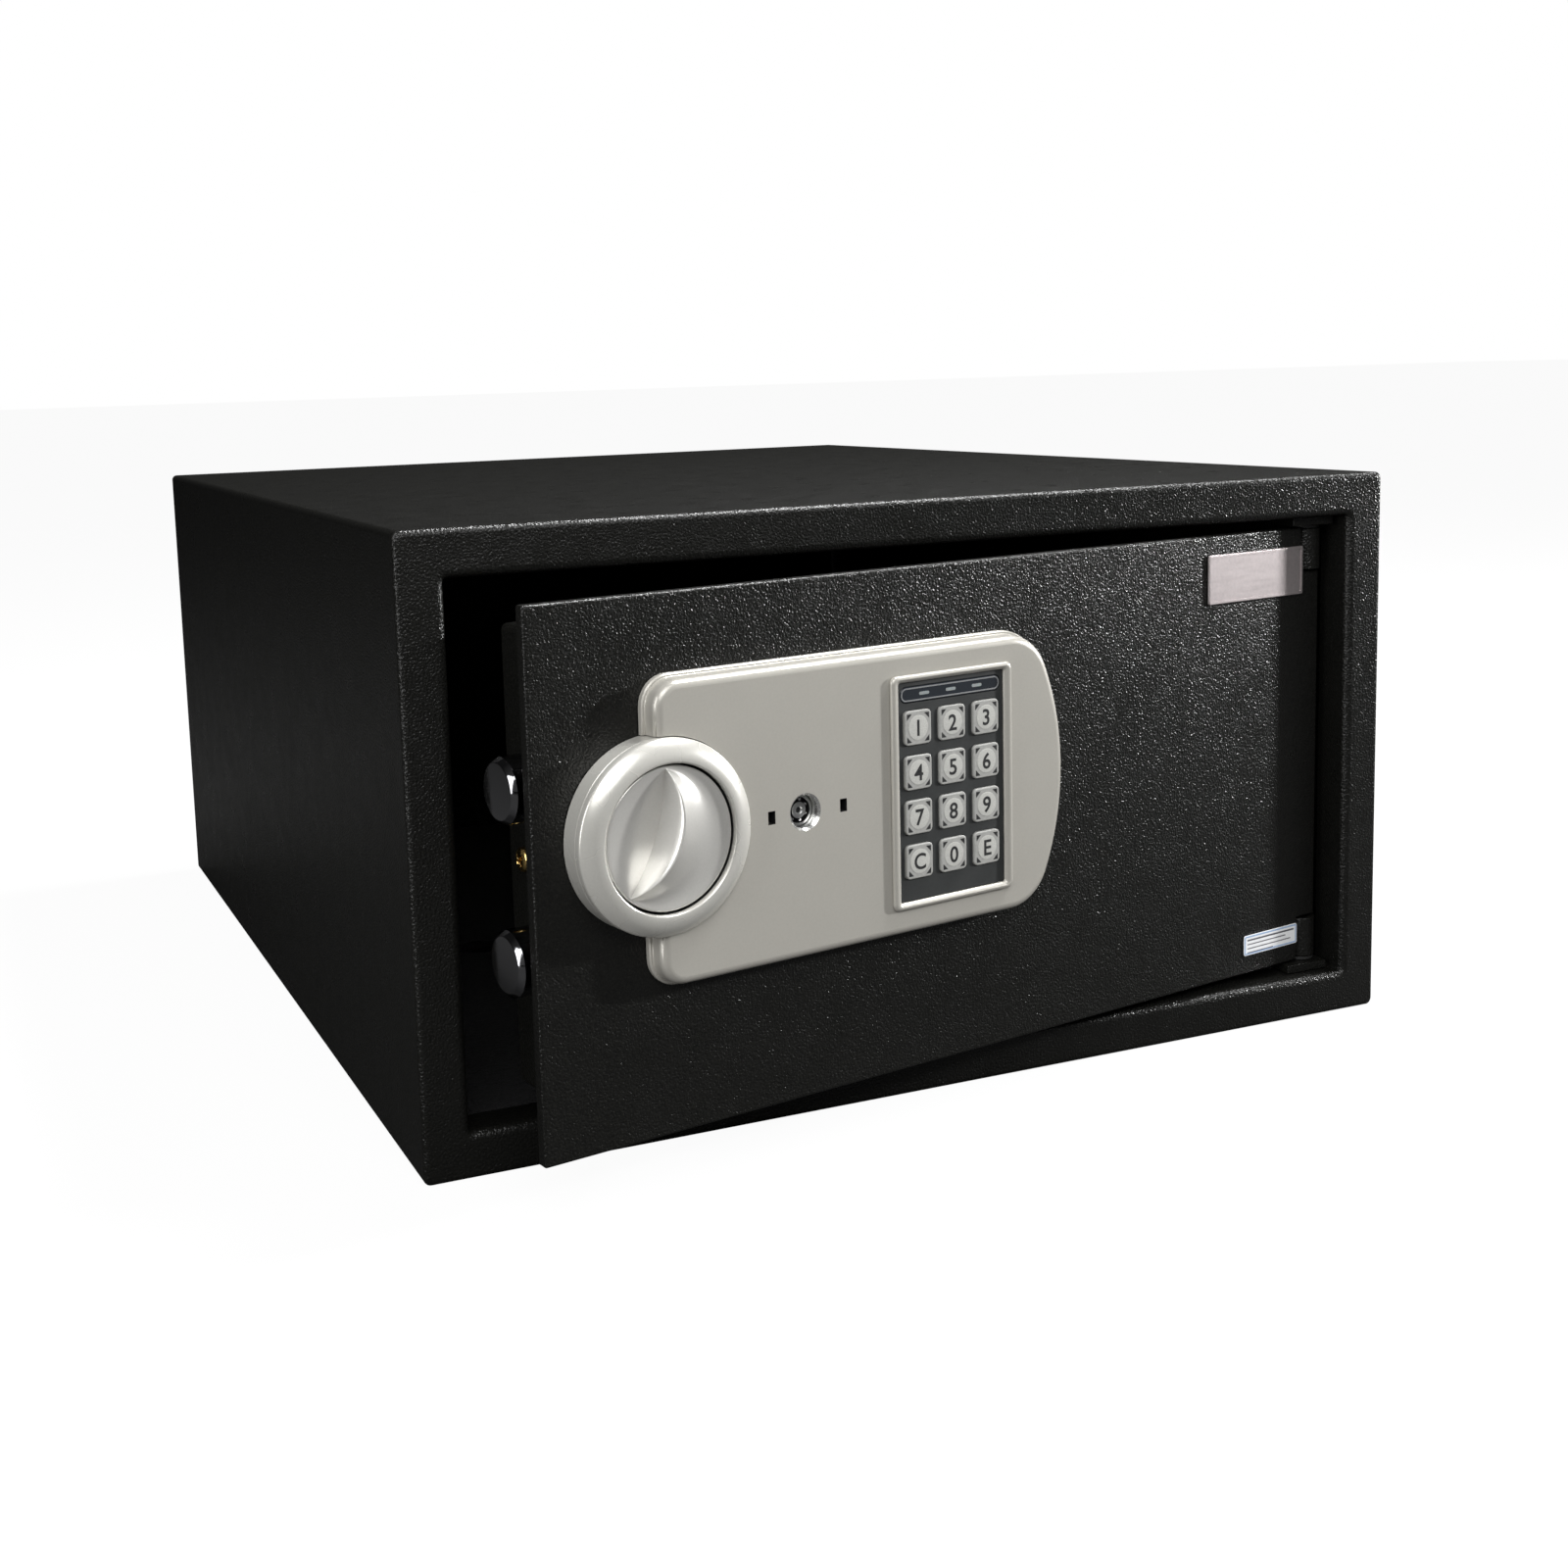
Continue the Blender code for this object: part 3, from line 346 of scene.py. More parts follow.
LOOKS = {
    "powder_coat": powder_coat(),
    "silver_plastic": silver_paint("silver_lacquer", (0.44, 0.425, 0.385), 0.34, 0.30),
    "knob_silver": silver_paint("knob_lacquer", (0.64, 0.63, 0.60), 0.24, 0.50),
    "chrome": chrome(),
    "zinc": zinc(),
    "brass": brass(),
    "keypad_dark": fine_plastic("keypad_dark", (0.026, 0.028, 0.028), 0.42),
    "key_grey": fine_plastic("key_grey", (0.31, 0.31, 0.295), 0.48),
    "smoked_window": smoked_window(),
    "led": led_epoxy(),
    "silicone": fine_plastic("silicone_rubber", (0.10, 0.10, 0.10), 0.75),
    "circuit_board": circuit_board(),
    "black_plastic": fine_plastic("black_plastic", (0.018, 0.018, 0.018), 0.50, 1300, 0.00006),
    "cell": battery_sleeve(),
    "red_plastic": fine_plastic("red_plastic", (0.42, 0.014, 0.011), 0.38),
    "nameplate": brushed_nameplate(),
    "label": fine_plastic("label_film", (0.80, 0.81, 0.82), 0.45, 3000, 0.00001, 0.03),
    "carpet": felt(),
    "spring_steel": spring_steel(),
}
BLACK_INK = ink("black_ink", (0.012, 0.012, 0.013), 0.45)
BLUE_INK = ink("blue_ink", (0.30, 0.42, 0.62), 0.45)
GREY_INK = ink("grey_ink", (0.09, 0.09, 0.10), 0.45)
PALE_INK = ink("pale_ink", (0.22, 0.225, 0.23), 0.40)
RING_SILVER = silver_paint("ring_lacquer", (0.60, 0.59, 0.55), 0.27, 0.40)
LINER = chrome_liner()
FIELD_GREY = ink("field_grey", (0.43, 0.43, 0.405), 0.42)
# Flat black painted into gaps and recesses as their shade: the ring's inner wall, the panel's slot walls and the
# key plug's slot and hollow.
GAP_SHADE_BLACK = ink("painted_gap_shade", (0.006, 0.006, 0.006), 0.6)


# ---------------------------------------------------------------- mesh helpers

def piece(name, edit, slot, body, *replaced, place=Matrix.Identity(4), extra=(), curved=False):
    """A finished mesh object on its body, with its slot's material and any extra ones.

    A curved one has no flat faces to keep flat, so it takes plain smooth shading.
    """
    bmesh.ops.remove_doubles(edit, verts=edit.verts, dist=1e-7)
    bmesh.ops.recalc_face_normals(edit, faces=edit.faces)
    mesh = bpy.data.meshes.new(name)
    edit.to_mesh(mesh)
    edit.free()
    mesh.transform(place)
    made = bpy.data.objects.new(name, mesh)
    bpy.context.scene.collection.objects.link(made)
    mesh.materials.append(LOOKS[slot])
    for look in extra:
        mesh.materials.append(look)
    even_shading(made)
    if curved:
        made.modifiers.remove(made.modifiers["even"])
    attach(made, body)
    if replaced:
        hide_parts(*replaced)
    return made


def even_shading(made):
    """Smooth shading whose large flat faces stay flat beside their rounded edges."""
    made.data.shade_smooth()
    made.data.set_sharp_from_angle(angle=SHARP_ANGLE)
    if "even" not in made.modifiers:
        weighted = made.modifiers.new("even", "WEIGHTED_NORMAL")
        weighted.keep_sharp = True
        weighted.weight = 100


def loop(edit, points):
    return [edit.verts.new(p) for p in points]


def bridge(edit, first, second, index=0):
    """Faces between two closed loops with the same number of points."""
    count = len(first)
    for i in range(count):
        j = (i + 1) % count
        face = edit.faces.new((first[i], first[j], second[j], second[i]))
        face.material_index = index


def band(shapes):
    """A closed band of skin through (outline, n) levels, its last level joined to its first."""
    edit = bmesh.new()
    rings = [loop(edit, [(u, z, n) for u, z in shape]) for shape, n in shapes]
    for first, second in zip(rings, rings[1:] + rings[:1]):
        bridge(edit, first, second)
    return edit


def arc(centre_u, centre_z, radius, start, end, steps):
    return [(centre_u + radius * cos(start + (end - start) * i / steps),
             centre_z + radius * sin(start + (end - start) * i / steps)) for i in range(steps + 1)]


def rounded_rectangle(low_u, high_u, low_z, high_z, radius, steps=6):
    """Points anticlockwise round a rectangle with rounded corners."""
    r = max(radius, 1e-5)
    points = arc(high_u - r, low_z + r, r, -pi / 2, 0, steps)
    points += arc(high_u - r, high_z - r, r, 0, pi / 2, steps)
    points += arc(low_u + r, high_z - r, r, pi / 2, pi, steps)
    points += arc(low_u + r, low_z + r, r, pi, 1.5 * pi, steps)
    return points


def inset(points, distance):
    """An outline moved inwards by a distance, its corners kept mitred."""
    moved = []
    count = len(points)
    for i, here in enumerate(points):
        here = Vector(here)
        before = (here - Vector(points[i - 1])).normalized()
        after = (Vector(points[(i + 1) % count]) - here).normalized()
        normal_before = Vector((-before.y, before.x))
        normal_after = Vector((-after.y, after.x))
        middle = (normal_before + normal_after).normalized()
        moved.append(tuple(here + middle * distance / max(middle.dot(normal_after), 0.3)))
    return moved


def plate(edit, outline, back, front, radius, steps=4, back_radius=0.0):
    """A plate on a (u, z) outline from n = back to n = front, with a rounded front edge."""
    levels = []
    if back_radius:
        for i in range(steps + 1):
            turn = pi / 2 * i / steps
            levels.append((back_radius * (1 - sin(turn)), back + back_radius * (1 - cos(turn))))
    else:
        levels.append((0.0, back))
    for i in range(steps + 1):
        turn = pi / 2 * i / steps
        levels.append((radius * (1 - cos(turn)), front - radius * (1 - sin(turn))))
    loops = []
    for distance, n in levels:
        shape = inset(outline, distance) if distance else outline
        loops.append(loop(edit, [(u, z, n) for u, z in shape]))
    for first, second in zip(loops, loops[1:]):
        bridge(edit, first, second)
    edit.faces.new(list(reversed(loops[0])))
    edit.faces.new(loops[-1])
    return edit


def turned(edit, profile, centre=(0, 0), sides=96, marks=None):
    """A solid turned about the n axis from (radius, n) points; marks gives each band's material."""
    rings = []
    for radius, n in profile:
        if radius < 1e-7:
            rings.append([edit.verts.new((centre[0], centre[1], n))])
        else:
            rings.append(loop(edit, [(centre[0] + radius * cos(2 * pi * i / sides),
                                      centre[1] + radius * sin(2 * pi * i / sides), n)
                                     for i in range(sides)]))
    for band, (first, second) in enumerate(zip(rings, rings[1:])):
        index = marks[band] if marks else 0
        for i in range(sides):
            j = (i + 1) % sides
            corners = [first[i % len(first)], first[j % len(first)],
                       second[j % len(second)], second[i % len(second)]]
            unique = list(dict.fromkeys(corners))
            if len(unique) > 2:
                edit.faces.new(unique).material_index = index
    return edit


def round_corner(radius_from, n_from, radius, start, end, steps=5):
    """Points of a turned profile round a fillet whose centre is (radius_from, n_from)."""
    return [(radius_from + radius * cos(radians(start + (end - start) * i / steps)),
             n_from + radius * sin(radians(start + (end - start) * i / steps)))
            for i in range(steps + 1)]


def boolean(made, edit, place=DOOR):
    """Cut the closed shape in edit out of a piece, and keep the result as its mesh."""
    bmesh.ops.recalc_face_normals(edit, faces=edit.faces)
    mesh = bpy.data.meshes.new("tool")
    edit.to_mesh(mesh)
    edit.free()
    mesh.transform(place)
    for look in made.data.materials:
        mesh.materials.append(look)
    tool = bpy.data.objects.new("tool", mesh)
    bpy.context.scene.collection.objects.link(tool)
    change = made.modifiers.new("tool", "BOOLEAN")
    change.operation = "DIFFERENCE"
    change.solver = "EXACT"
    change.object = tool
    bpy.context.view_layer.update()
    graph = bpy.context.evaluated_depsgraph_get()
    result = bpy.data.meshes.new_from_object(made.evaluated_get(graph))
    result.name = made.name
    clean = bmesh.new()
    clean.from_mesh(result)
    bmesh.ops.remove_doubles(clean, verts=clean.verts, dist=CUT_MERGE)
    bmesh.ops.dissolve_limit(clean, angle_limit=CUT_FLAT_ANGLE, verts=clean.verts,
                             edges=clean.edges, delimit={"MATERIAL"})
    clean.to_mesh(result)
    clean.free()
    made.modifiers.clear()
    made.data = result
    bpy.data.objects.remove(tool, do_unlink=True)
    even_shading(made)
    axis = (place.to_3x3() @ UP).normalized()
    for face in result.polygons:
        if len(face.vertices) > MANY_SIDED or abs(face.normal.dot(axis)) > FACING_AXIS:
            face.use_smooth = False


def box_tool(low, high):
    """A closed box between two (u, z, n) corners, to cut with."""
    edit = bmesh.new()
    bmesh.ops.create_cube(edit, size=1.0)
    size = Vector(high) - Vector(low)
    bmesh.ops.scale(edit, vec=size, verts=edit.verts)
    bmesh.ops.translate(edit, vec=(Vector(low) + Vector(high)) / 2, verts=edit.verts)
    return edit


def anchor_holes(made, radius, top):
    """Cut the two anchor bolts' holes through a piece on the floor."""
    for side in (-1, 1):
        hole = turned(bmesh.new(), [(0, -0.01), (radius, -0.01), (radius, top), (0, top)],
                      centre=(side * ANCHOR_HALF_SPREAD, 0), sides=64)
        boolean(made, hole, place=Matrix.Identity(4))


# ---------------------------------------------------------------- cabinet

def cabinet_loop(half_w, low_z, high_z, radius, y):
    return [(x, y, z) for x, z in rounded_rectangle(-half_w, half_w, low_z, high_z, radius, 8)]


def make_cabinet():
    """One folded skin: the lip, its rounded fold, the border, the outer edge and the long sides."""
    low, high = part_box("cabinet_wrap")
    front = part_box("front_frame")[0].y
    width = high.x
    height = high.z
    sheet = 2 * MM
    border = 15 * MM
    lip_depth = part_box("front_frame")[1].y - front
    fold = 2.6 * MM
    edge = 1.8 * MM
    corner = 2.2 * MM
    inner_corner = corner - edge
    opening_corner = 1.2 * MM

    def level(inward, y, corner_radius):
        """A loop standing inward from the cabinet's outside."""
        return (width - inward, inward, height - inward, corner_radius, y)

    levels = []
    lip_rim = 0.5 * MM
    for i in range(4):
        turn = pi / 2 * i / 3
        levels.append(level(border - lip_rim * (1 - sin(turn)),
                            front + lip_depth - lip_rim * (1 - cos(turn)), opening_corner))
    for i in range(9):
        turn = pi / 2 * i / 8
        inward = border - fold * (1 - cos(turn))
        levels.append(level(inward, front + fold * (1 - sin(turn)),
                            opening_corner + fold * (1 - cos(turn))))
    for i in range(7):
        turn = pi / 2 * i / 6
        levels.append(level(edge * (1 - sin(turn)), front + edge * (1 - cos(turn)), corner))
    back_rim = 0.4 * MM
    levels.append(level(0, high.y - back_rim, corner))
    levels.append(level(back_rim, high.y, corner - back_rim))
    levels.append(level(sheet, high.y, inner_corner))
    levels.append(level(sheet, front + sheet, inner_corner))
    levels.append(level(border - sheet, front + sheet, opening_corner + sheet))
    levels.append(level(border - sheet, front + lip_depth, opening_corner + sheet))
    edit = bmesh.new()
    rings = [loop(edit, cabinet_loop(*values)) for values in levels]
    for first, second in zip(rings, rings[1:] + rings[:1]):
        bridge(edit, first, second)
    shell = piece("cabinet_shell", edit, "powder_coat", "cabinet", "cabinet_wrap", "front_frame")
    anchor_holes(shell, 6 * MM, 0.006)


def make_mat():
    """The felt mat, with softly cut edges and clearance round the anchor bolts."""
    low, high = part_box("floor_mat")
    edge = 0.9 * MM
    outline = rounded_rectangle(low.x, high.x, low.y, high.y, 4 * MM, 6)
    edit = plate(bmesh.new(), outline, low.z, high.z - 0.1 * MM, edge, 4)
    mat = piece("felt_mat", edit, "carpet", "cabinet", "floor_mat")
    anchor_holes(mat, 9 * MM, 0.02)


# ---------------------------------------------------------------- door

def make_door():
    """The door plate with softly rounded edges and the two hinge notches."""
    low, high = span("door_plate")
    knuckle = span("hinge_knuckle_lower")
    notch_u = high.x - 9.3 * MM
    notch_low = knuckle[1].y + 0.7 * MM
    notch_high = span("hinge_knuckle_upper")[0].y - 0.7 * MM
    r = 0.8 * MM
    outline = arc(low.x + r, low.y + r, r, pi, 1.5 * pi, 3)
    outline += [(notch_u, low.y), (notch_u, notch_low)]
    outline += [(high.x, notch_low), (high.x, notch_high)]
    outline += [(notch_u, notch_high), (notch_u, high.y)]
    outline += arc(low.x + r, high.y - r, r, pi / 2, pi, 3)
    edit = plate(bmesh.new(), outline, low.z, high.z, 0.9 * MM, 5, back_radius=0.5 * MM)
    piece("door_skin", edit, "powder_coat", "door", "door_plate", place=DOOR)


def make_nameplate():
    """A blank satin plate with a raised rim, standing just proud of the door."""
    low, high = span("nameplate")
    outline = rounded_rectangle(low.x, high.x, low.y, high.y, 0.7 * MM, 4)
    edit = plate(bmesh.new(), outline, low.z, high.z, 0.35 * MM, 3)
    made = piece("blank_nameplate", edit, "nameplate", "door", "nameplate", place=DOOR)
    rim = 1.1 * MM
    sunk = rounded_rectangle(low.x + rim, high.x - rim, low.y + rim, high.y - rim, 0.4 * MM, 3)
    boolean(made, plate(bmesh.new(), sunk, high.z - 0.15 * MM, high.z + MM, 0.01 * MM, 1))


def make_label():
    """A small film label: a pale blue edge, a white field and plain bars."""
    low, high = span("maker_label")
    outline = rounded_rectangle(low.x, high.x, low.y, high.y, 0.8 * MM, 4)
    edit = plate(bmesh.new(), outline, low.z, high.z - 0.1 * MM, 0.06 * MM, 2)
    made = piece("plain_label", edit, "label", "door", "maker_label", place=DOOR)
    top = high.z - 0.1 * MM
    outer = rounded_rectangle(low.x + 0.3 * MM, high.x - 0.3 * MM, low.y + 0.3 * MM,
                              high.y - 0.3 * MM, 0.6 * MM, 4)
    inner = inset(outer, 0.55 * MM)
    raised = top + 0.03 * MM
    edge = band(((outer, top), (outer, raised), (inner, raised), (inner, top)))
    border = piece("label_edge", edge, "label", "door", place=DOOR)
    border.data.materials[0] = BLUE_INK
    bars = bmesh.new()
    start = low.x + 1.8 * MM
    room = high.x - low.x - 3.6 * MM
    for row, (share, thick) in enumerate(((1.0, 0.62), (0.82, 0.40), (0.93, 0.40), (0.55, 0.40))):
        z = high.y - (1.9 + row * 1.55) * MM
        bar = rounded_rectangle(start, start + room * share, z - thick * MM / 2, z + thick * MM / 2,
                                0.08 * MM, 2)
        plate(bars, bar, top, raised, 0.01 * MM, 1)
    lines = piece("label_bars", bars, "label", "door", place=DOOR)
    lines.data.materials[0] = GREY_INK


def make_inner_cover():
    """The pan behind the door, its edges bent round, and the covers and screws on it."""
    soften(nodes["door_inner_cover"], 0.9 * MM)

    cover_low, cover_high = span("battery_cover")
    outline = rounded_rectangle(cover_low.x, cover_high.x, cover_low.y, cover_high.y, 3 * MM, 6)
    edit = plate(bmesh.new(), [(-u, z) for u, z in reversed(outline)],
                 -cover_high.z, -cover_low.z - 0.35 * MM, 0.5 * MM, 4)
    behind = DOOR @ Matrix.Rotation(pi, 4, "Y")
    grip_u = -(cover_low.x + 9 * MM)
    middle_z = (cover_low.y + cover_high.y) / 2
    for rib in range(7):
        u = grip_u - rib * 2.2 * MM
        bar = rounded_rectangle(u - 0.5 * MM, u + 0.5 * MM, middle_z - 11 * MM, middle_z + 11 * MM,
                                0.45 * MM, 4)
        plate(edit, bar, -cover_low.z - 0.5 * MM, -cover_low.z, 0.3 * MM, 3)
    piece("battery_hatch", edit, "black_plastic", "battery_cover", "battery_cover", place=behind)

    for name in ("cover_screw_upper", "cover_screw_lower"):
        low, high = span(name)
        centre = (-(low.x + high.x) / 2, (low.y + high.y) / 2)
        make_screw(name + "_head", centre, -high.z, -low.z, (high.x - low.x) / 2, "zinc", behind,
                   name)

    low, high = span("cover_side_screw")
    side = DOOR @ Matrix.Rotation(-pi / 2, 4, "Y")
    make_screw("side_screw_head", ((low.z + high.z) / 2, (low.y + high.y) / 2), -high.x, -low.x,
               (high.y - low.y) / 2, "brass", side, "cover_side_screw")

    low, high = span("reset_button")
    edit = bmesh.new()
    r = (high.x - low.x) / 2
    profile = [(0, -high.z), (r, -high.z), (r, -low.z - 0.8 * MM)]
    profile += round_corner(r - 0.8 * MM, -low.z - 0.8 * MM, 0.8 * MM, 0, 80)
    profile += [(r * 0.5, -low.z - 0.05 * MM), (0, -low.z - 0.25 * MM)]
    turned(edit, profile, centre=(-(low.x + high.x) / 2, (low.y + high.y) / 2), sides=48)
    piece("reset_cap", edit, "red_plastic", "reset_button", "reset_button", place=behind)


def make_screw(name, centre, back, front, radius, slot, place, node):
    """A pan-head screw with a cross recess."""
    dome = []
    for i in range(9):
        turn = pi / 2 * i / 8
        dome.append((radius * cos(turn) ** 0.6, back + (front - back) * (0.25 + 0.75 * sin(turn))))
    edit = turned(bmesh.new(), [(0, back), (radius, back)] + dome[:-1] + [(0, front)],
                  centre=centre, sides=48)
    head = piece(name, edit, slot, "door", node, place=place)
    for turn in (0, pi / 2):
        arm = box_tool((-radius * 0.55, -radius * 0.11, -(front - back) * 0.65),
                       (radius * 0.55, radius * 0.11, front - back))
        bmesh.ops.rotate(arm, verts=arm.verts, matrix=Matrix.Rotation(turn + 0.6, 3, "Z"))
        bmesh.ops.translate(arm, vec=(*centre, front), verts=arm.verts)
        boolean(head, arm, place=place)


def soften(node, width, segments=3):
    """Weld a CAD node's split corners and round its sharp edges."""
    weld = node.modifiers.new("weld", "WELD")
    weld.merge_threshold = 0.00001
    flat = node.modifiers.new("flat", "DECIMATE")
    flat.decimate_type = "DISSOLVE"
    flat.angle_limit = radians(0.5)
    bevel = node.modifiers.new("bevel", "BEVEL")
    bevel.width = width
    bevel.segments = segments
    bevel.limit_method = "ANGLE"
    bevel.angle_limit = radians(40)
    bevel.harden_normals = True


# ---------------------------------------------------------------- lock front

def lock_centre():
    low, high = span("knob_ring")
    return (low.x + high.x) / 2, (low.y + high.y) / 2


KNOB = lock_centre()
KEY_HOLE_U = sum(v.x for v in span("key_lock_plug")) / 2


def panel_outline(grow=0.0):
    """Small corners beside the knob, and a bowed end with large corners beyond the keypad."""
    low, high = span("lock_panel")
    flange = 1.2 * MM
    half = (high.y - low.y) / 2 - flange + grow
    middle = (high.y + low.y) / 2
    bow = 88 * MM + grow
    corner = 17 * MM + grow
    left = 8 * MM + grow
    bow_u = high.x - flange + grow - bow
    rise = half - corner
    corner_u = bow_u + sqrt((bow - corner) ** 2 - rise ** 2)
    meet = atan2(rise, corner_u - bow_u)
    start = low.x + flange - grow + left
    points = arc(bow_u, middle, bow, -meet, meet, 24)
    points += arc(corner_u, middle + rise, corner, meet, pi / 2, 14)[1:]
    points += arc(start, middle + half - left, left, pi / 2, pi, 8)
    points += arc(start, middle - half + left, left, pi, 1.5 * pi, 8)
    points += arc(corner_u, middle - rise, corner, 1.5 * pi, 2 * pi - meet, 14)[:-1]
    return points


def make_panel():
    """The moulded panel: flange, body with a generous front radius, and its openings."""
    low, high = span("lock_panel")
    body = panel_outline()
    edit = bmesh.new()
    flange = panel_outline(1.2 * MM)
    flange_top = 2.2 * MM
    levels = [(flange, low.z), (flange, flange_top - 0.4 * MM),
              (panel_outline(0.8 * MM), flange_top), (panel_outline(0.25 * MM), flange_top),
              (body, flange_top + 0.25 * MM)]
    radius = 2.6 * MM
    for i in range(9):
        turn = pi / 2 * i / 8
        levels.append((panel_outline(-radius * (1 - cos(turn))), high.z - radius * (1 - sin(turn))))
    rings = [loop(edit, [(u, z, n) for u, z in shape]) for shape, n in levels]
    for first, second in zip(rings, rings[1:]):
        bridge(edit, first, second)
    edit.faces.new(list(reversed(rings[0])))
    edit.faces.new(rings[-1])
    panel = piece("panel_moulding", edit, "silver_plastic", "door", "lock_panel", place=DOOR)

    ring_low, ring_high = span("knob_ring")
    seat = (ring_high.x - ring_low.x) / 2 + 0.3 * MM
    boolean(panel, turned(bmesh.new(), [(0, -0.02), (seat, -0.02), (seat, 0.04), (0, 0.04)],
                          centre=KNOB, sides=128))
    hole = 5.0 * MM
    bevel = 0.75 * MM
    profile = [(0, -0.02), (hole, -0.02), (hole, high.z - bevel), (hole + bevel, high.z),
               (hole + bevel + MM, high.z + MM), (hole + bevel + MM, 0.04), (0, 0.04)]
    # Index 1, flat black, is painted shade on the slots' cut walls; index 2 is the bright liner of the key hole.
    panel.data.materials.append(GAP_SHADE_BLACK)
    panel.data.materials.append(LINER)
    tool = turned(bmesh.new(), profile, centre=(KEY_HOLE_U, KNOB[1]), sides=96)
    for face in tool.faces:
        face.material_index = 2
    boolean(panel, tool)
    pad_low, pad_high = span("keypad_plate")
    gap = 0.3 * MM
    boolean(panel, box_tool((pad_low.x - gap, pad_low.y - gap, -0.02),
                            (pad_high.x + gap, pad_high.y + gap, 0.04)))
    slot_half_u, slot_half_z, slot_floor = 1.3 * MM, 2 * MM, 3 * MM
    for u in (KEY_HOLE_U - 12.3 * MM, KEY_HOLE_U + 14.3 * MM):
        tool = box_tool((u - slot_half_u, KNOB[1] - slot_half_z, slot_floor),
                        (u + slot_half_u, KNOB[1] + slot_half_z, 0.04))
        # The slot's cut walls take the painted shade.
        for face in tool.faces:
            face.material_index = 1
        boolean(panel, tool)


def make_ring():
    """The trim ring: upright side with a parting line, broad rounded face, and an inner wall painted black as the
    shade in the gap.
    """
    low, high = span("knob_ring")
    outer = (high.x - low.x) / 2
    inner = outer - 7 * MM
    top = high.z
    side = [(outer, low.z)]
    side += [(outer, 6.5 * MM), (outer - 0.18 * MM, 6.6 * MM), (outer - 0.18 * MM, 6.8 * MM),
             (outer, 6.9 * MM)]
    face = round_corner(outer - 1.1 * MM, top - 3.5 * MM, 1.1 * MM, 0, 50, 6)
    crest = [(outer - inward * MM, top - drop * MM)
             for inward, drop in ((1.2, 1.95), (2.2, 1.22), (3.2, 0.68), (4.3, 0.27),
                                  (5.3, 0.06), (5.9, 0))]
    lip = round_corner(inner + 0.7 * MM, top - 0.7 * MM, 0.7 * MM, 80, 180, 7)
    wall = [(inner, top - 1.8 * MM), (inner + 0.05 * MM, low.z), (outer, low.z)]
    profile = side + face + crest + lip + wall
    # The bands of the inner wall, from here on, take flat black as painted shade.
    painted_shade_from = len(side + face + crest + lip)
    marks = [1 if band >= painted_shade_from else 0 for band in range(len(profile) - 1)]
    edit = turned(bmesh.new(), profile, centre=KNOB, sides=144, marks=marks)
    ring = piece("trim_ring", edit, "silver_plastic", "door", "knob_ring", place=DOOR,
                 extra=(GAP_SHADE_BLACK,), curved=True)
    ring.data.materials[0] = RING_SILVER


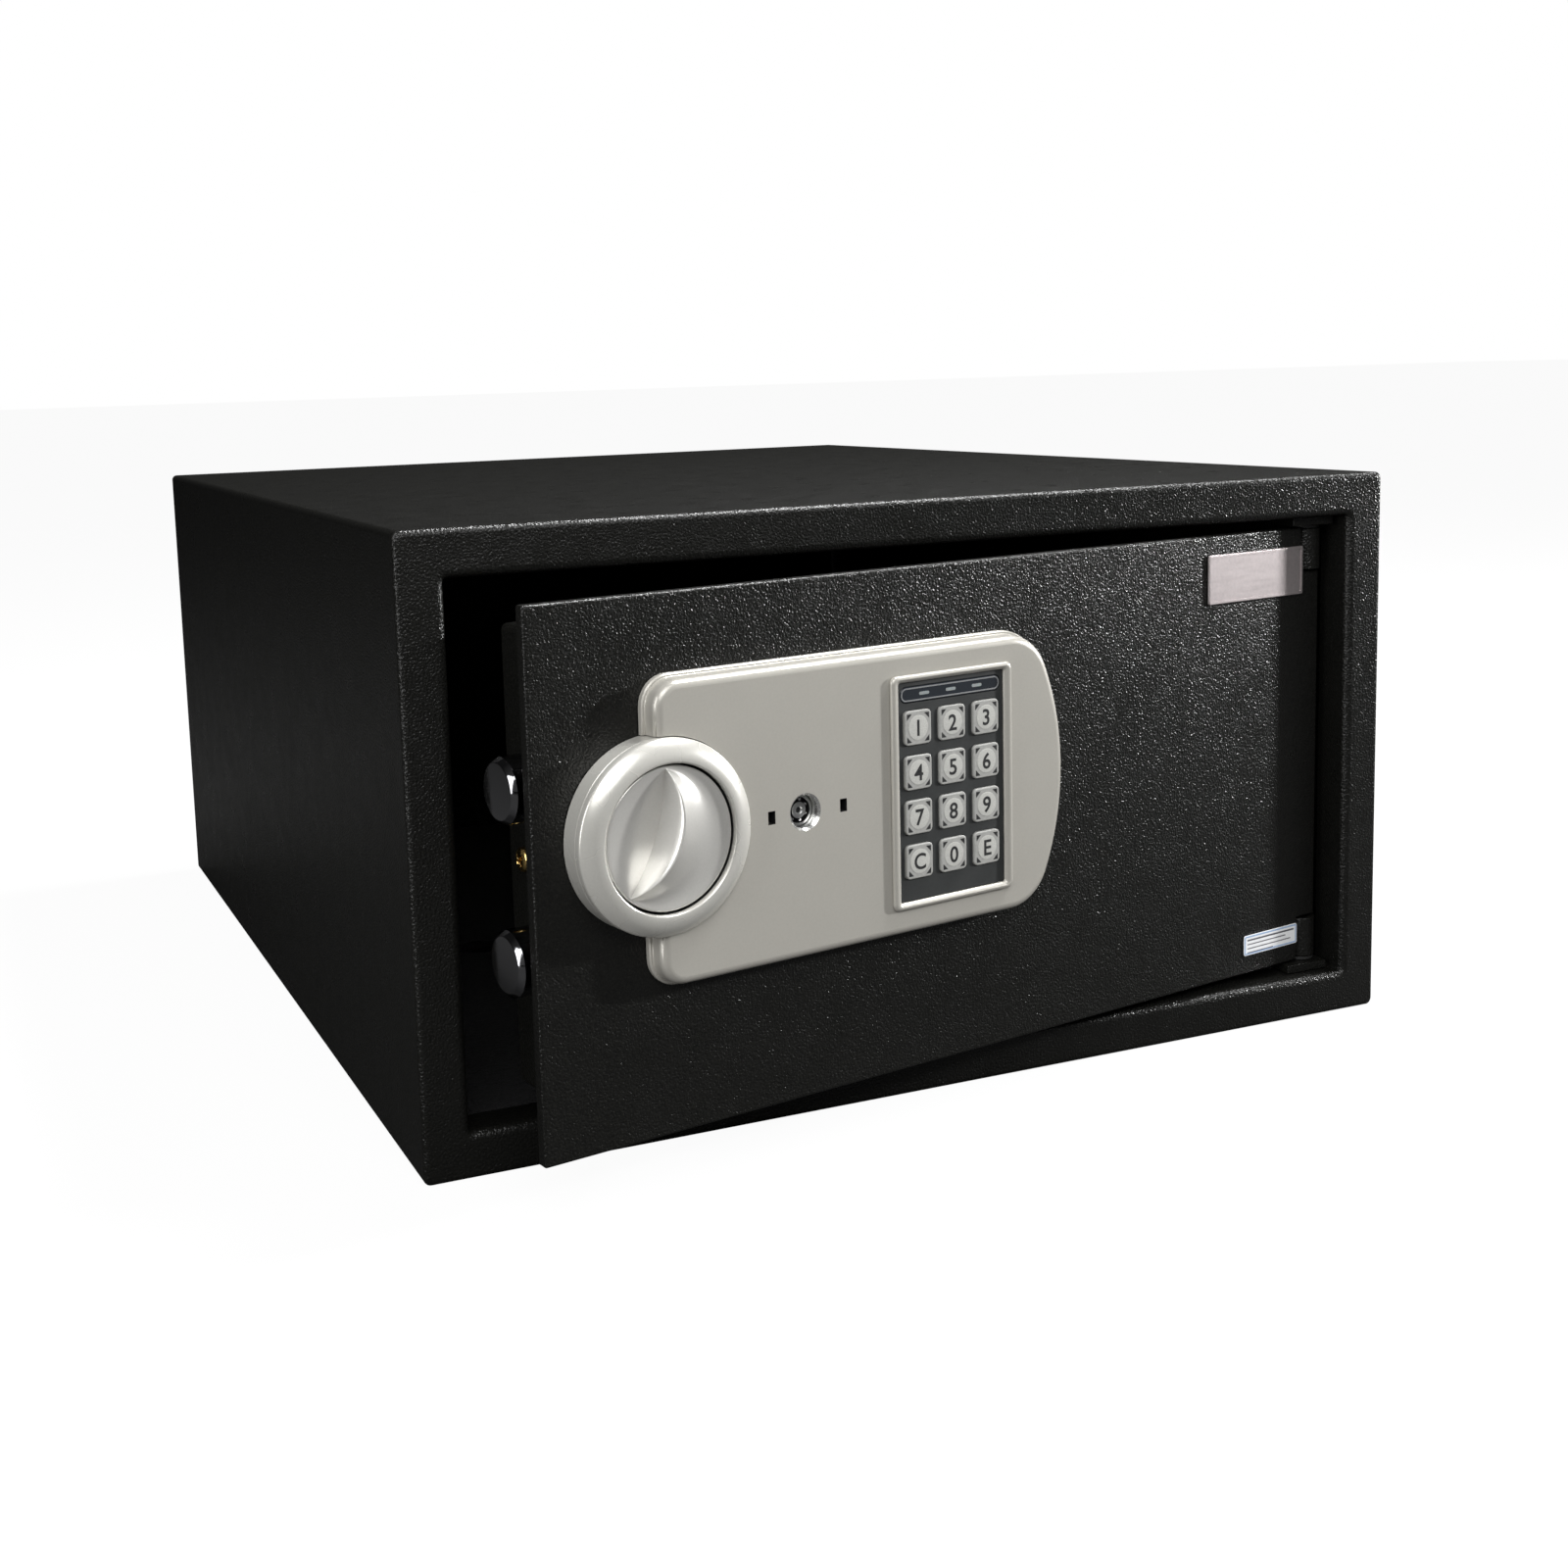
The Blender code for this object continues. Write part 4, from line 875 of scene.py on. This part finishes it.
def make_knob():
    """The knob: a crescent fin whose crest runs between two points of the rim.

    The face is ruled by circular arcs through both points, from the rim on one side to the rim
    on the other. Each arc has its own bow past the straight line between the points, and its
    height is a profile of that bow, fading to the rim's height at the points.
    """
    low, high = span("knob")
    radius = (high.y - low.y) / 2
    rim = 10.5 * MM
    crest_height = high.z - rim
    face_radius = radius - 0.7 * MM
    offset = 7.7 * MM
    half = sqrt(face_radius ** 2 - offset ** 2)
    tilt = radians(-20)
    near_rim = -(face_radius - offset)
    far_rim = face_radius + offset
    foot = 5.2 * MM
    crest = 8.3 * MM
    dish = 3.6 * MM

    def height(bow):
        """The face's height over the rim for an arc of that bow."""
        if bow <= foot:
            share = (bow - near_rim) / (foot - near_rim)
            return -dish * share ** 1.35
        if bow <= crest:
            share = (bow - foot) / (crest - foot)
            return -dish + (crest_height + dish) * sin(share * pi / 2) ** 0.9
        share = (bow - crest) / (far_rim - crest)
        return crest_height * (1 - share) ** 1.8 - 1.6 * MM * sin(pi * share) ** 1.2 * share

    bows = [near_rim + (foot - near_rim) * i / 18 for i in range(19)]
    bows += [foot + (crest - foot) * share for share in (0.12, 0.3, 0.5, 0.7, 0.85, 0.95)]
    bows += [crest + (far_rim - crest) * (i / 26) ** 1.5 for i in range(0, 27)]
    steps = 56
    edit = bmesh.new()

    def spot(bow, t):
        """The point at t (-1 to 1) along the arc of that bow, before it is raised."""
        if abs(bow) < 1e-6:
            across, along = 0.0, half * t
        else:
            size = (half ** 2 + bow ** 2) / (2 * abs(bow))
            reach = 2 * atan2(abs(bow), half)
            across = abs(bow) - size + size * cos(reach * t)
            across = across if bow > 0 else -across
            along = size * sin(reach * t)
        across -= offset
        return (across * cos(tilt) - along * sin(tilt), across * sin(tilt) + along * cos(tilt))

    columns = []
    for bow in bows:
        column = []
        for i in range(1, steps):
            t = -1 + 2 * i / steps
            x, z = spot(bow, t)
            fade = (1 - abs(t) ** 2.2) ** 0.9
            column.append(edit.verts.new((KNOB[0] + x, KNOB[1] + z, rim + height(bow) * fade)))
        columns.append(column)
    tips = []
    for t in (-1, 1):
        x, z = spot(crest, t)
        tips.append(edit.verts.new((KNOB[0] + x, KNOB[1] + z, rim)))
    for first, second in zip(columns, columns[1:]):
        for i in range(steps - 2):
            edit.faces.new((first[i], second[i], second[i + 1], first[i + 1]))
        edit.faces.new((tips[0], second[0], first[0]))
        edit.faces.new((first[-1], second[-1], tips[1]))
    border = columns[0] + [tips[1]] + list(reversed(columns[-1])) + [tips[0]]
    skirt = [(0.28 * MM, -0.06 * MM), (0.52 * MM, -0.24 * MM), (0.7 * MM, -0.62 * MM)]
    previous = border
    for out, down in skirt + [(0.7 * MM, low.z - rim)]:
        ring = []
        for v in border:
            away = Vector((v.co.x - KNOB[0], v.co.y - KNOB[1])).normalized() * (face_radius + out)
            ring.append(edit.verts.new((KNOB[0] + away.x, KNOB[1] + away.y, rim + down)))
        bridge(edit, previous, ring)
        previous = ring
    edit.faces.new(previous)
    piece("grip_knob", edit, "knob_silver", "knob", "knob", place=DOOR, curved=True)


def make_key_lock():
    """The override lock: a chamfered collar and a plug with a tubular key's round slot, whose walls and floor and
    the plug's middle hollow are painted black as shade.
    """
    centre = (KEY_HOLE_U, KNOB[1])
    low, high = span("key_lock_barrel")
    outer = (high.y - low.y) / 2
    inner = 5.1 * MM
    profile = [(inner, low.z), (outer, low.z), (outer, high.z - 0.4 * MM)]
    profile += round_corner(outer - 0.4 * MM, high.z - 0.4 * MM, 0.4 * MM, 0, 90, 3)
    profile += [(inner + 0.5 * MM, high.z), (inner, high.z - 0.5 * MM), (inner, low.z)]
    piece("lock_barrel", turned(bmesh.new(), profile, centre=centre, sides=72), "zinc", "door",
          "key_lock_barrel", place=DOOR)
    low, high = span("key_lock_plug")
    top = high.z + 1.5 * MM
    groove = (2.55 * MM, 3.95 * MM)
    floor = top - 2.2 * MM
    profile = [(0, top - 0.6 * MM), (0.9 * MM, top - 0.6 * MM), (1.1 * MM, top - 0.1 * MM),
               (1.3 * MM, top), (groove[0] - 0.15 * MM, top), (groove[0], top - 0.15 * MM),
               (groove[0], floor), (groove[1], floor), (groove[1], top - 0.15 * MM),
               (groove[1] + 0.15 * MM, top), (4.7 * MM, top), (4.8 * MM, top - 0.1 * MM),
               (4.8 * MM, low.z), (0, low.z)]
    # Bands 0, 5, 6 and 7, the middle hollow and the round slot, take flat black as painted shade.
    marks = [1 if band in (0, 5, 6, 7) else 0 for band in range(len(profile) - 1)]
    plug = piece("lock_plug", turned(bmesh.new(), profile, centre=centre, sides=72, marks=marks),
                 "zinc", "key_lock", "key_lock_plug", place=DOOR, extra=(GAP_SHADE_BLACK,))
    boolean(plug, box_tool((centre[0] - 0.55 * MM, centre[1] + 3.5 * MM, floor),
                           (centre[0] + 0.55 * MM, centre[1] + 5.5 * MM, 6 * MM)))
    pins = bmesh.new()
    ring = sum(groove) / 2
    for i in range(7):
        turn = 2 * pi * (i + 0.5) / 7
        turned(pins, [(0, floor - 0.2 * MM), (0.5 * MM, floor - 0.2 * MM), (0.5 * MM, top - 0.75 * MM),
                      (0.38 * MM, top - 0.6 * MM), (0, top - 0.55 * MM)],
               centre=(centre[0] + ring * cos(turn), centre[1] + ring * sin(turn)), sides=16)
    piece("lock_pins", pins, "spring_steel", "key_lock", place=DOOR)


# ---------------------------------------------------------------- keypad

def make_bezel():
    """The keypad's border: rounded outside, with a slope down to the dark plate inside."""
    low, high = span("keypad_bezel")
    pad_low, pad_high = span("keypad_plate")
    top = high.z
    shapes = [
        (rounded_rectangle(low.x, high.x, low.y, high.y, 2.2 * MM, 8), low.z),
        (rounded_rectangle(low.x, high.x, low.y, high.y, 2.2 * MM, 8), low.z + 0.3 * MM)]
    outer_round = 1.1 * MM
    for i in range(1, 6):
        turn = pi / 2 * i / 5
        step = outer_round * (1 - cos(turn))
        shapes.append((rounded_rectangle(low.x + step, high.x - step, low.y + step, high.y - step,
                                         2.2 * MM - step * 0.6, 8),
                       top - (outer_round - 0.1 * MM) * (1 - sin(turn))))
    slope = 1.1 * MM
    shapes.append((rounded_rectangle(pad_low.x - slope, pad_high.x + slope, pad_low.y - slope,
                                     pad_high.y + slope, 1.3 * MM, 8), top))
    shapes.append((rounded_rectangle(pad_low.x - 0.15 * MM, pad_high.x + 0.15 * MM,
                                     pad_low.y - 0.15 * MM, pad_high.y + 0.15 * MM, 0.8 * MM, 8),
                   top - 0.75 * MM))
    shapes.append((rounded_rectangle(pad_low.x, pad_high.x, pad_low.y, pad_high.y, 0.8 * MM, 8),
                   low.z))
    piece("keypad_border", band(shapes), "silver_plastic", "door", "keypad_bezel", place=DOOR)


KEY_NODES = [name for name in nodes if name.startswith("key_") and len(name) == 5]


def make_pad():
    """The dark plate with its key holes, and the pill-shaped window with a pale outline."""
    low, high = span("keypad_plate")
    edit = plate(bmesh.new(), rounded_rectangle(low.x, high.x, low.y, high.y, 0.6 * MM, 3),
                 low.z, high.z, 0.15 * MM, 2)
    pad = piece("keypad_face", edit, "keypad_dark", "door", "keypad_plate", place=DOOR)
    for name in KEY_NODES:
        key_low, key_high = span(name)
        hole = rounded_rectangle(key_low.x - 0.25 * MM, key_high.x + 0.25 * MM,
                                 key_low.y - 0.25 * MM, key_high.y + 0.25 * MM, 1.8 * MM, 5)
        boolean(pad, plate(bmesh.new(), hole, 0.004, 0.012, 0.01 * MM, 1))
    w_low, w_high = span("indicator_window")
    hole = rounded_rectangle(w_low.x - 0.2 * MM, w_high.x + 0.2 * MM, w_low.y - 0.2 * MM,
                             w_high.y + 0.2 * MM, 2.5 * MM, 10)
    boolean(pad, plate(bmesh.new(), hole, 0.004, 0.012, 0.01 * MM, 1))

    pill = rounded_rectangle(w_low.x, w_high.x, w_low.y, w_high.y, 2.35 * MM, 10)
    piece("window_pill", plate(bmesh.new(), pill, w_low.z, w_high.z - 0.05 * MM, 0.25 * MM, 4),
          "smoked_window", "door", "indicator_window", place=DOOR)
    top = w_high.z - 0.05 * MM
    outline = inset(pill, 0.35 * MM)
    inner = inset(outline, 0.42 * MM)
    foot, raised = top - 0.02 * MM, top + 0.03 * MM
    edit = band(((outline, foot), (outline, raised), (inner, raised), (inner, foot)))
    line = piece("window_outline", edit, "smoked_window", "door", place=DOOR)
    line.data.materials[0] = PALE_INK
    dashes = bmesh.new()
    for name in ("indicator_led_1", "indicator_led_2", "indicator_led_3"):
        led_low, led_high = span(name)
        middle = (led_low.y + led_high.y) / 2
        dash = rounded_rectangle(led_low.x - 0.3 * MM, led_high.x + 0.3 * MM, middle - 0.5 * MM,
                                 middle + 0.5 * MM, 0.45 * MM, 5)
        plate(dashes, dash, foot, raised, 0.01 * MM, 1)
    piece("window_dashes", dashes, "led", "door", place=DOOR)


def flat_letter(edit, text, centre, height, thick, top):
    """One character as thin raised ink, centred at (u, z)."""
    curve = bpy.data.curves.new("letter", "FONT")
    curve.body = text
    curve.align_x = "CENTER"
    curve.size = height / 0.70
    curve.extrude = thick / 2
    curve.offset = 0.00012
    curve.resolution_u = 5
    holder = bpy.data.objects.new("letter", curve)
    bpy.context.scene.collection.objects.link(holder)
    bpy.context.view_layer.update()
    mesh = bpy.data.meshes.new_from_object(
        holder.evaluated_get(bpy.context.evaluated_depsgraph_get()))
    mesh.transform(Matrix.Translation((centre[0], centre[1] - height / 2, top)))
    edit.from_mesh(mesh)
    bpy.data.objects.remove(holder, do_unlink=True)


def make_key(name):
    """A key: rounded cap with a slightly raised round field, corner marks and its figure."""
    low, high = span(name)
    cap_top = high.z - 0.25 * MM
    outline = rounded_rectangle(low.x, high.x, low.y, high.y, 1.6 * MM, 6)
    edit = plate(bmesh.new(), outline, low.z, cap_top, 0.45 * MM, 4)
    middle = ((low.x + high.x) / 2, (low.y + high.y) / 2)
    field = 3.9 * MM
    turned(edit, [(0, cap_top - 0.1 * MM), (field, cap_top - 0.1 * MM), (field, cap_top + 0.02 * MM),
                  (field - 0.12 * MM, cap_top + 0.1 * MM), (0, cap_top + 0.1 * MM)],
           centre=middle, sides=48, marks=(0, 1, 1, 1))
    piece("cap_" + name[4:], edit, "key_grey", name, name, place=DOOR, extra=(FIELD_GREY,))

    marks = bmesh.new()
    reach_u = (high.x - low.x) / 2 - 0.95 * MM
    reach_z = (high.y - low.y) / 2 - 0.95 * MM
    arm = 1.9 * MM
    for side_u in (-1, 1):
        for side_z in (-1, 1):
            corner = (middle[0] + side_u * reach_u, middle[1] + side_z * reach_z)
            shape = [corner, (corner[0] - side_u * arm, corner[1]),
                     (corner[0] - side_u * arm * 0.5, corner[1] - side_z * arm * 0.5),
                     (corner[0], corner[1] - side_z * arm)]
            if side_u * side_z > 0:
                shape.reverse()
            shape.reverse()
            plate(marks, shape, cap_top - 0.02 * MM, cap_top + 0.04 * MM, 0.01 * MM, 1)
    flat_letter(marks, name[4:].upper(), middle, 5.0 * MM, 0.06 * MM, cap_top + 0.1 * MM)
    ink_piece = piece("print_" + name[4:], marks, "key_grey", name, place=DOOR)
    ink_piece.data.materials[0] = BLACK_INK


# ---------------------------------------------------------------- bolts

def make_bolt(name):
    """A chromed bolt: a turned bar whose nose has a softened chamfer."""
    low, high = span(name)
    radius = (high.y - low.y) / 2
    chamfer = 1.5 * MM
    soft = 0.35 * MM
    tip = -low.x
    tail = -high.x
    profile = [(0, tip), (radius - chamfer - soft, tip),
               (radius - chamfer + soft * 0.4, tip - soft * 0.35),
               (radius - soft * 0.8, tip - chamfer + soft * 0.5),
               (radius - soft * 0.15, tip - chamfer - soft * 0.2), (radius, tip - chamfer - 2 * soft),
               (radius, tail + 0.3 * MM), (radius - 0.3 * MM, tail), (0, tail)]
    edit = turned(bmesh.new(), profile, centre=((low.z + high.z) / 2, (low.y + high.y) / 2), sides=96)
    side = DOOR @ Matrix.Rotation(-pi / 2, 4, "Y")
    piece(name + "_bar", edit, "chrome", "bolts", name, place=side)


# ---------------------------------------------------------------- build everything

make_cabinet()
make_mat()
make_door()
make_nameplate()
make_label()
make_inner_cover()
make_panel()
make_ring()
make_knob()
make_key_lock()
make_bezel()
make_pad()
for key_name in sorted(KEY_NODES):
    make_key(key_name)
make_bolt("bolt_upper")
make_bolt("bolt_lower")

SOFT_EDGES = {
    "back_panel": 0.3, "hinge_bracket_lower": 0.3, "hinge_bracket_upper": 0.3,
    "hinge_washer_lower": 0.15, "hinge_washer_upper": 0.15, "hinge_knuckle_lower": 0.3,
    "hinge_knuckle_upper": 0.3, "battery_tray": 0.4, "bolt_guide": 0.3, "bolt_carriage": 0.3,
    "solenoid": 0.4, "knob_cam": 0.2, "key_lock_cam": 0.3, "control_board": 0.15,
    "keypad_board": 0.15, "key_mat": 0.15,
}
for node_name, node in nodes.items():
    node.data.materials.clear()
    node.data.materials.append(LOOKS[slot_of[node_name]])
    if node_name in SOFT_EDGES:
        soften(node, SOFT_EDGES[node_name] * MM, 2)


# ---------------------------------------------------------------- studio

def make_camera():
    """The camera, to the left of the middle, a little above, turned to the right."""
    camera = bpy.data.objects.new("camera", bpy.data.cameras.new("camera"))
    camera.data.lens = 44.6
    camera.data.shift_x = 0.0505
    camera.data.shift_y = -0.0879
    camera.data.clip_start = 0.01
    turned_right = radians(22.99)
    looking_down = radians(8.02)
    roll = radians(-1.71)
    camera.matrix_world = (Matrix.Translation((-0.3197, -0.7718, 0.2428))
                           @ Matrix.Rotation(-turned_right, 4, "Z")
                           @ Matrix.Rotation(pi / 2 - looking_down, 4, "X")
                           @ Matrix.Rotation(roll, 4, "Z"))
    bpy.context.scene.collection.objects.link(camera)
    bpy.context.scene.camera = camera


# Degrees right of straight ahead, degrees up, metres away, size in metres, watts.
LIGHTS = {
    "side_right": (76, 12, 2.0, (0.14, 0.14), 42),
    "soft_left": (-18, 38, 1.7, (1.2, 1.0), 21),
    "soft_above": (78, 62, 1.35, (0.45, 0.45), 24),
    "rim_above": (139, 66, 1.2, (0.15, 0.15), 12),
    "card_left": (-68, 12, 1.2, (0.35, 0.7), 5),
}


def area_light(name, place, target, size, power):
    light = bpy.data.lights.new(name, "AREA")
    light.shape = "RECTANGLE"
    light.size, light.size_y = size
    light.energy = power
    holder = bpy.data.objects.new(name, light)
    holder.location = place
    holder.rotation_euler = (Vector(target) - Vector(place)).to_track_quat("-Z", "Y").to_euler()
    bpy.context.scene.collection.objects.link(holder)


def make_studio():
    floor_edit = bmesh.new()
    bmesh.ops.create_grid(floor_edit, x_segments=1, y_segments=1, size=30)
    mesh = bpy.data.meshes.new("floor")
    floor_edit.to_mesh(mesh)
    floor_edit.free()
    floor = bpy.data.objects.new("floor", mesh)
    floor.location.z = -0.0002
    bpy.context.scene.collection.objects.link(floor)
    paper = Recipe("floor_paper", (0.06, 0.06, 0.06), 0.9)
    paper.set("Specular IOR Level", 0.0)
    paper.set("Emission Color", (1, 1, 1, 1))
    seen = paper.node("ShaderNodeLightPath").outputs["Is Camera Ray"]
    paper.link(paper.remap(seen, 0, 1, 0, 0.95), paper.shader.inputs["Emission Strength"])
    paper.tinted(paper.noise(3, detail=2.0), 0.004)
    mesh.materials.append(paper.material)

    make_world()
    middle = Vector((0.05, -0.15, 0.12))
    for name, (right, up, distance, size, watts) in LIGHTS.items():
        area_light(name, bearing(middle, right, up, distance), middle, size, watts)


def bearing(start, right, up, distance):
    """The place at a distance from start, turned right of straight ahead and up, in degrees."""
    right, up = radians(right), radians(up)
    return start + distance * Vector((sin(right) * cos(up), -cos(right) * cos(up), sin(up)))


def make_world():
    """A white surround, whose light is dim in front of the safe and dimmer still behind it."""
    world = bpy.data.worlds.new("studio")
    world.use_nodes = True
    tree = world.node_tree
    direction = tree.nodes.new("ShaderNodeTexCoord")
    parts = tree.nodes.new("ShaderNodeSeparateXYZ")
    strength = tree.nodes.new("ShaderNodeMapRange")
    for key, number in (("From Min", -0.7), ("From Max", 0.3), ("To Min", 0.12), ("To Max", 0.02)):
        strength.inputs[key].default_value = number
    seen = tree.nodes.new("ShaderNodeLightPath")
    brighter = tree.nodes.new("ShaderNodeMath")
    brighter.operation = "MAXIMUM"
    background = tree.nodes["Background"]
    background.inputs["Color"].default_value = (1, 1, 1, 1)
    tree.links.new(direction.outputs["Generated"], parts.inputs["Vector"])
    tree.links.new(parts.outputs["Y"], strength.inputs["Value"])
    tree.links.new(strength.outputs["Result"], brighter.inputs[0])
    tree.links.new(seen.outputs["Is Camera Ray"], brighter.inputs[1])
    tree.links.new(brighter.outputs["Value"], background.inputs["Strength"])
    bpy.context.scene.world = world


make_camera()
make_studio()
bpy.context.scene.view_settings.view_transform = "Standard"
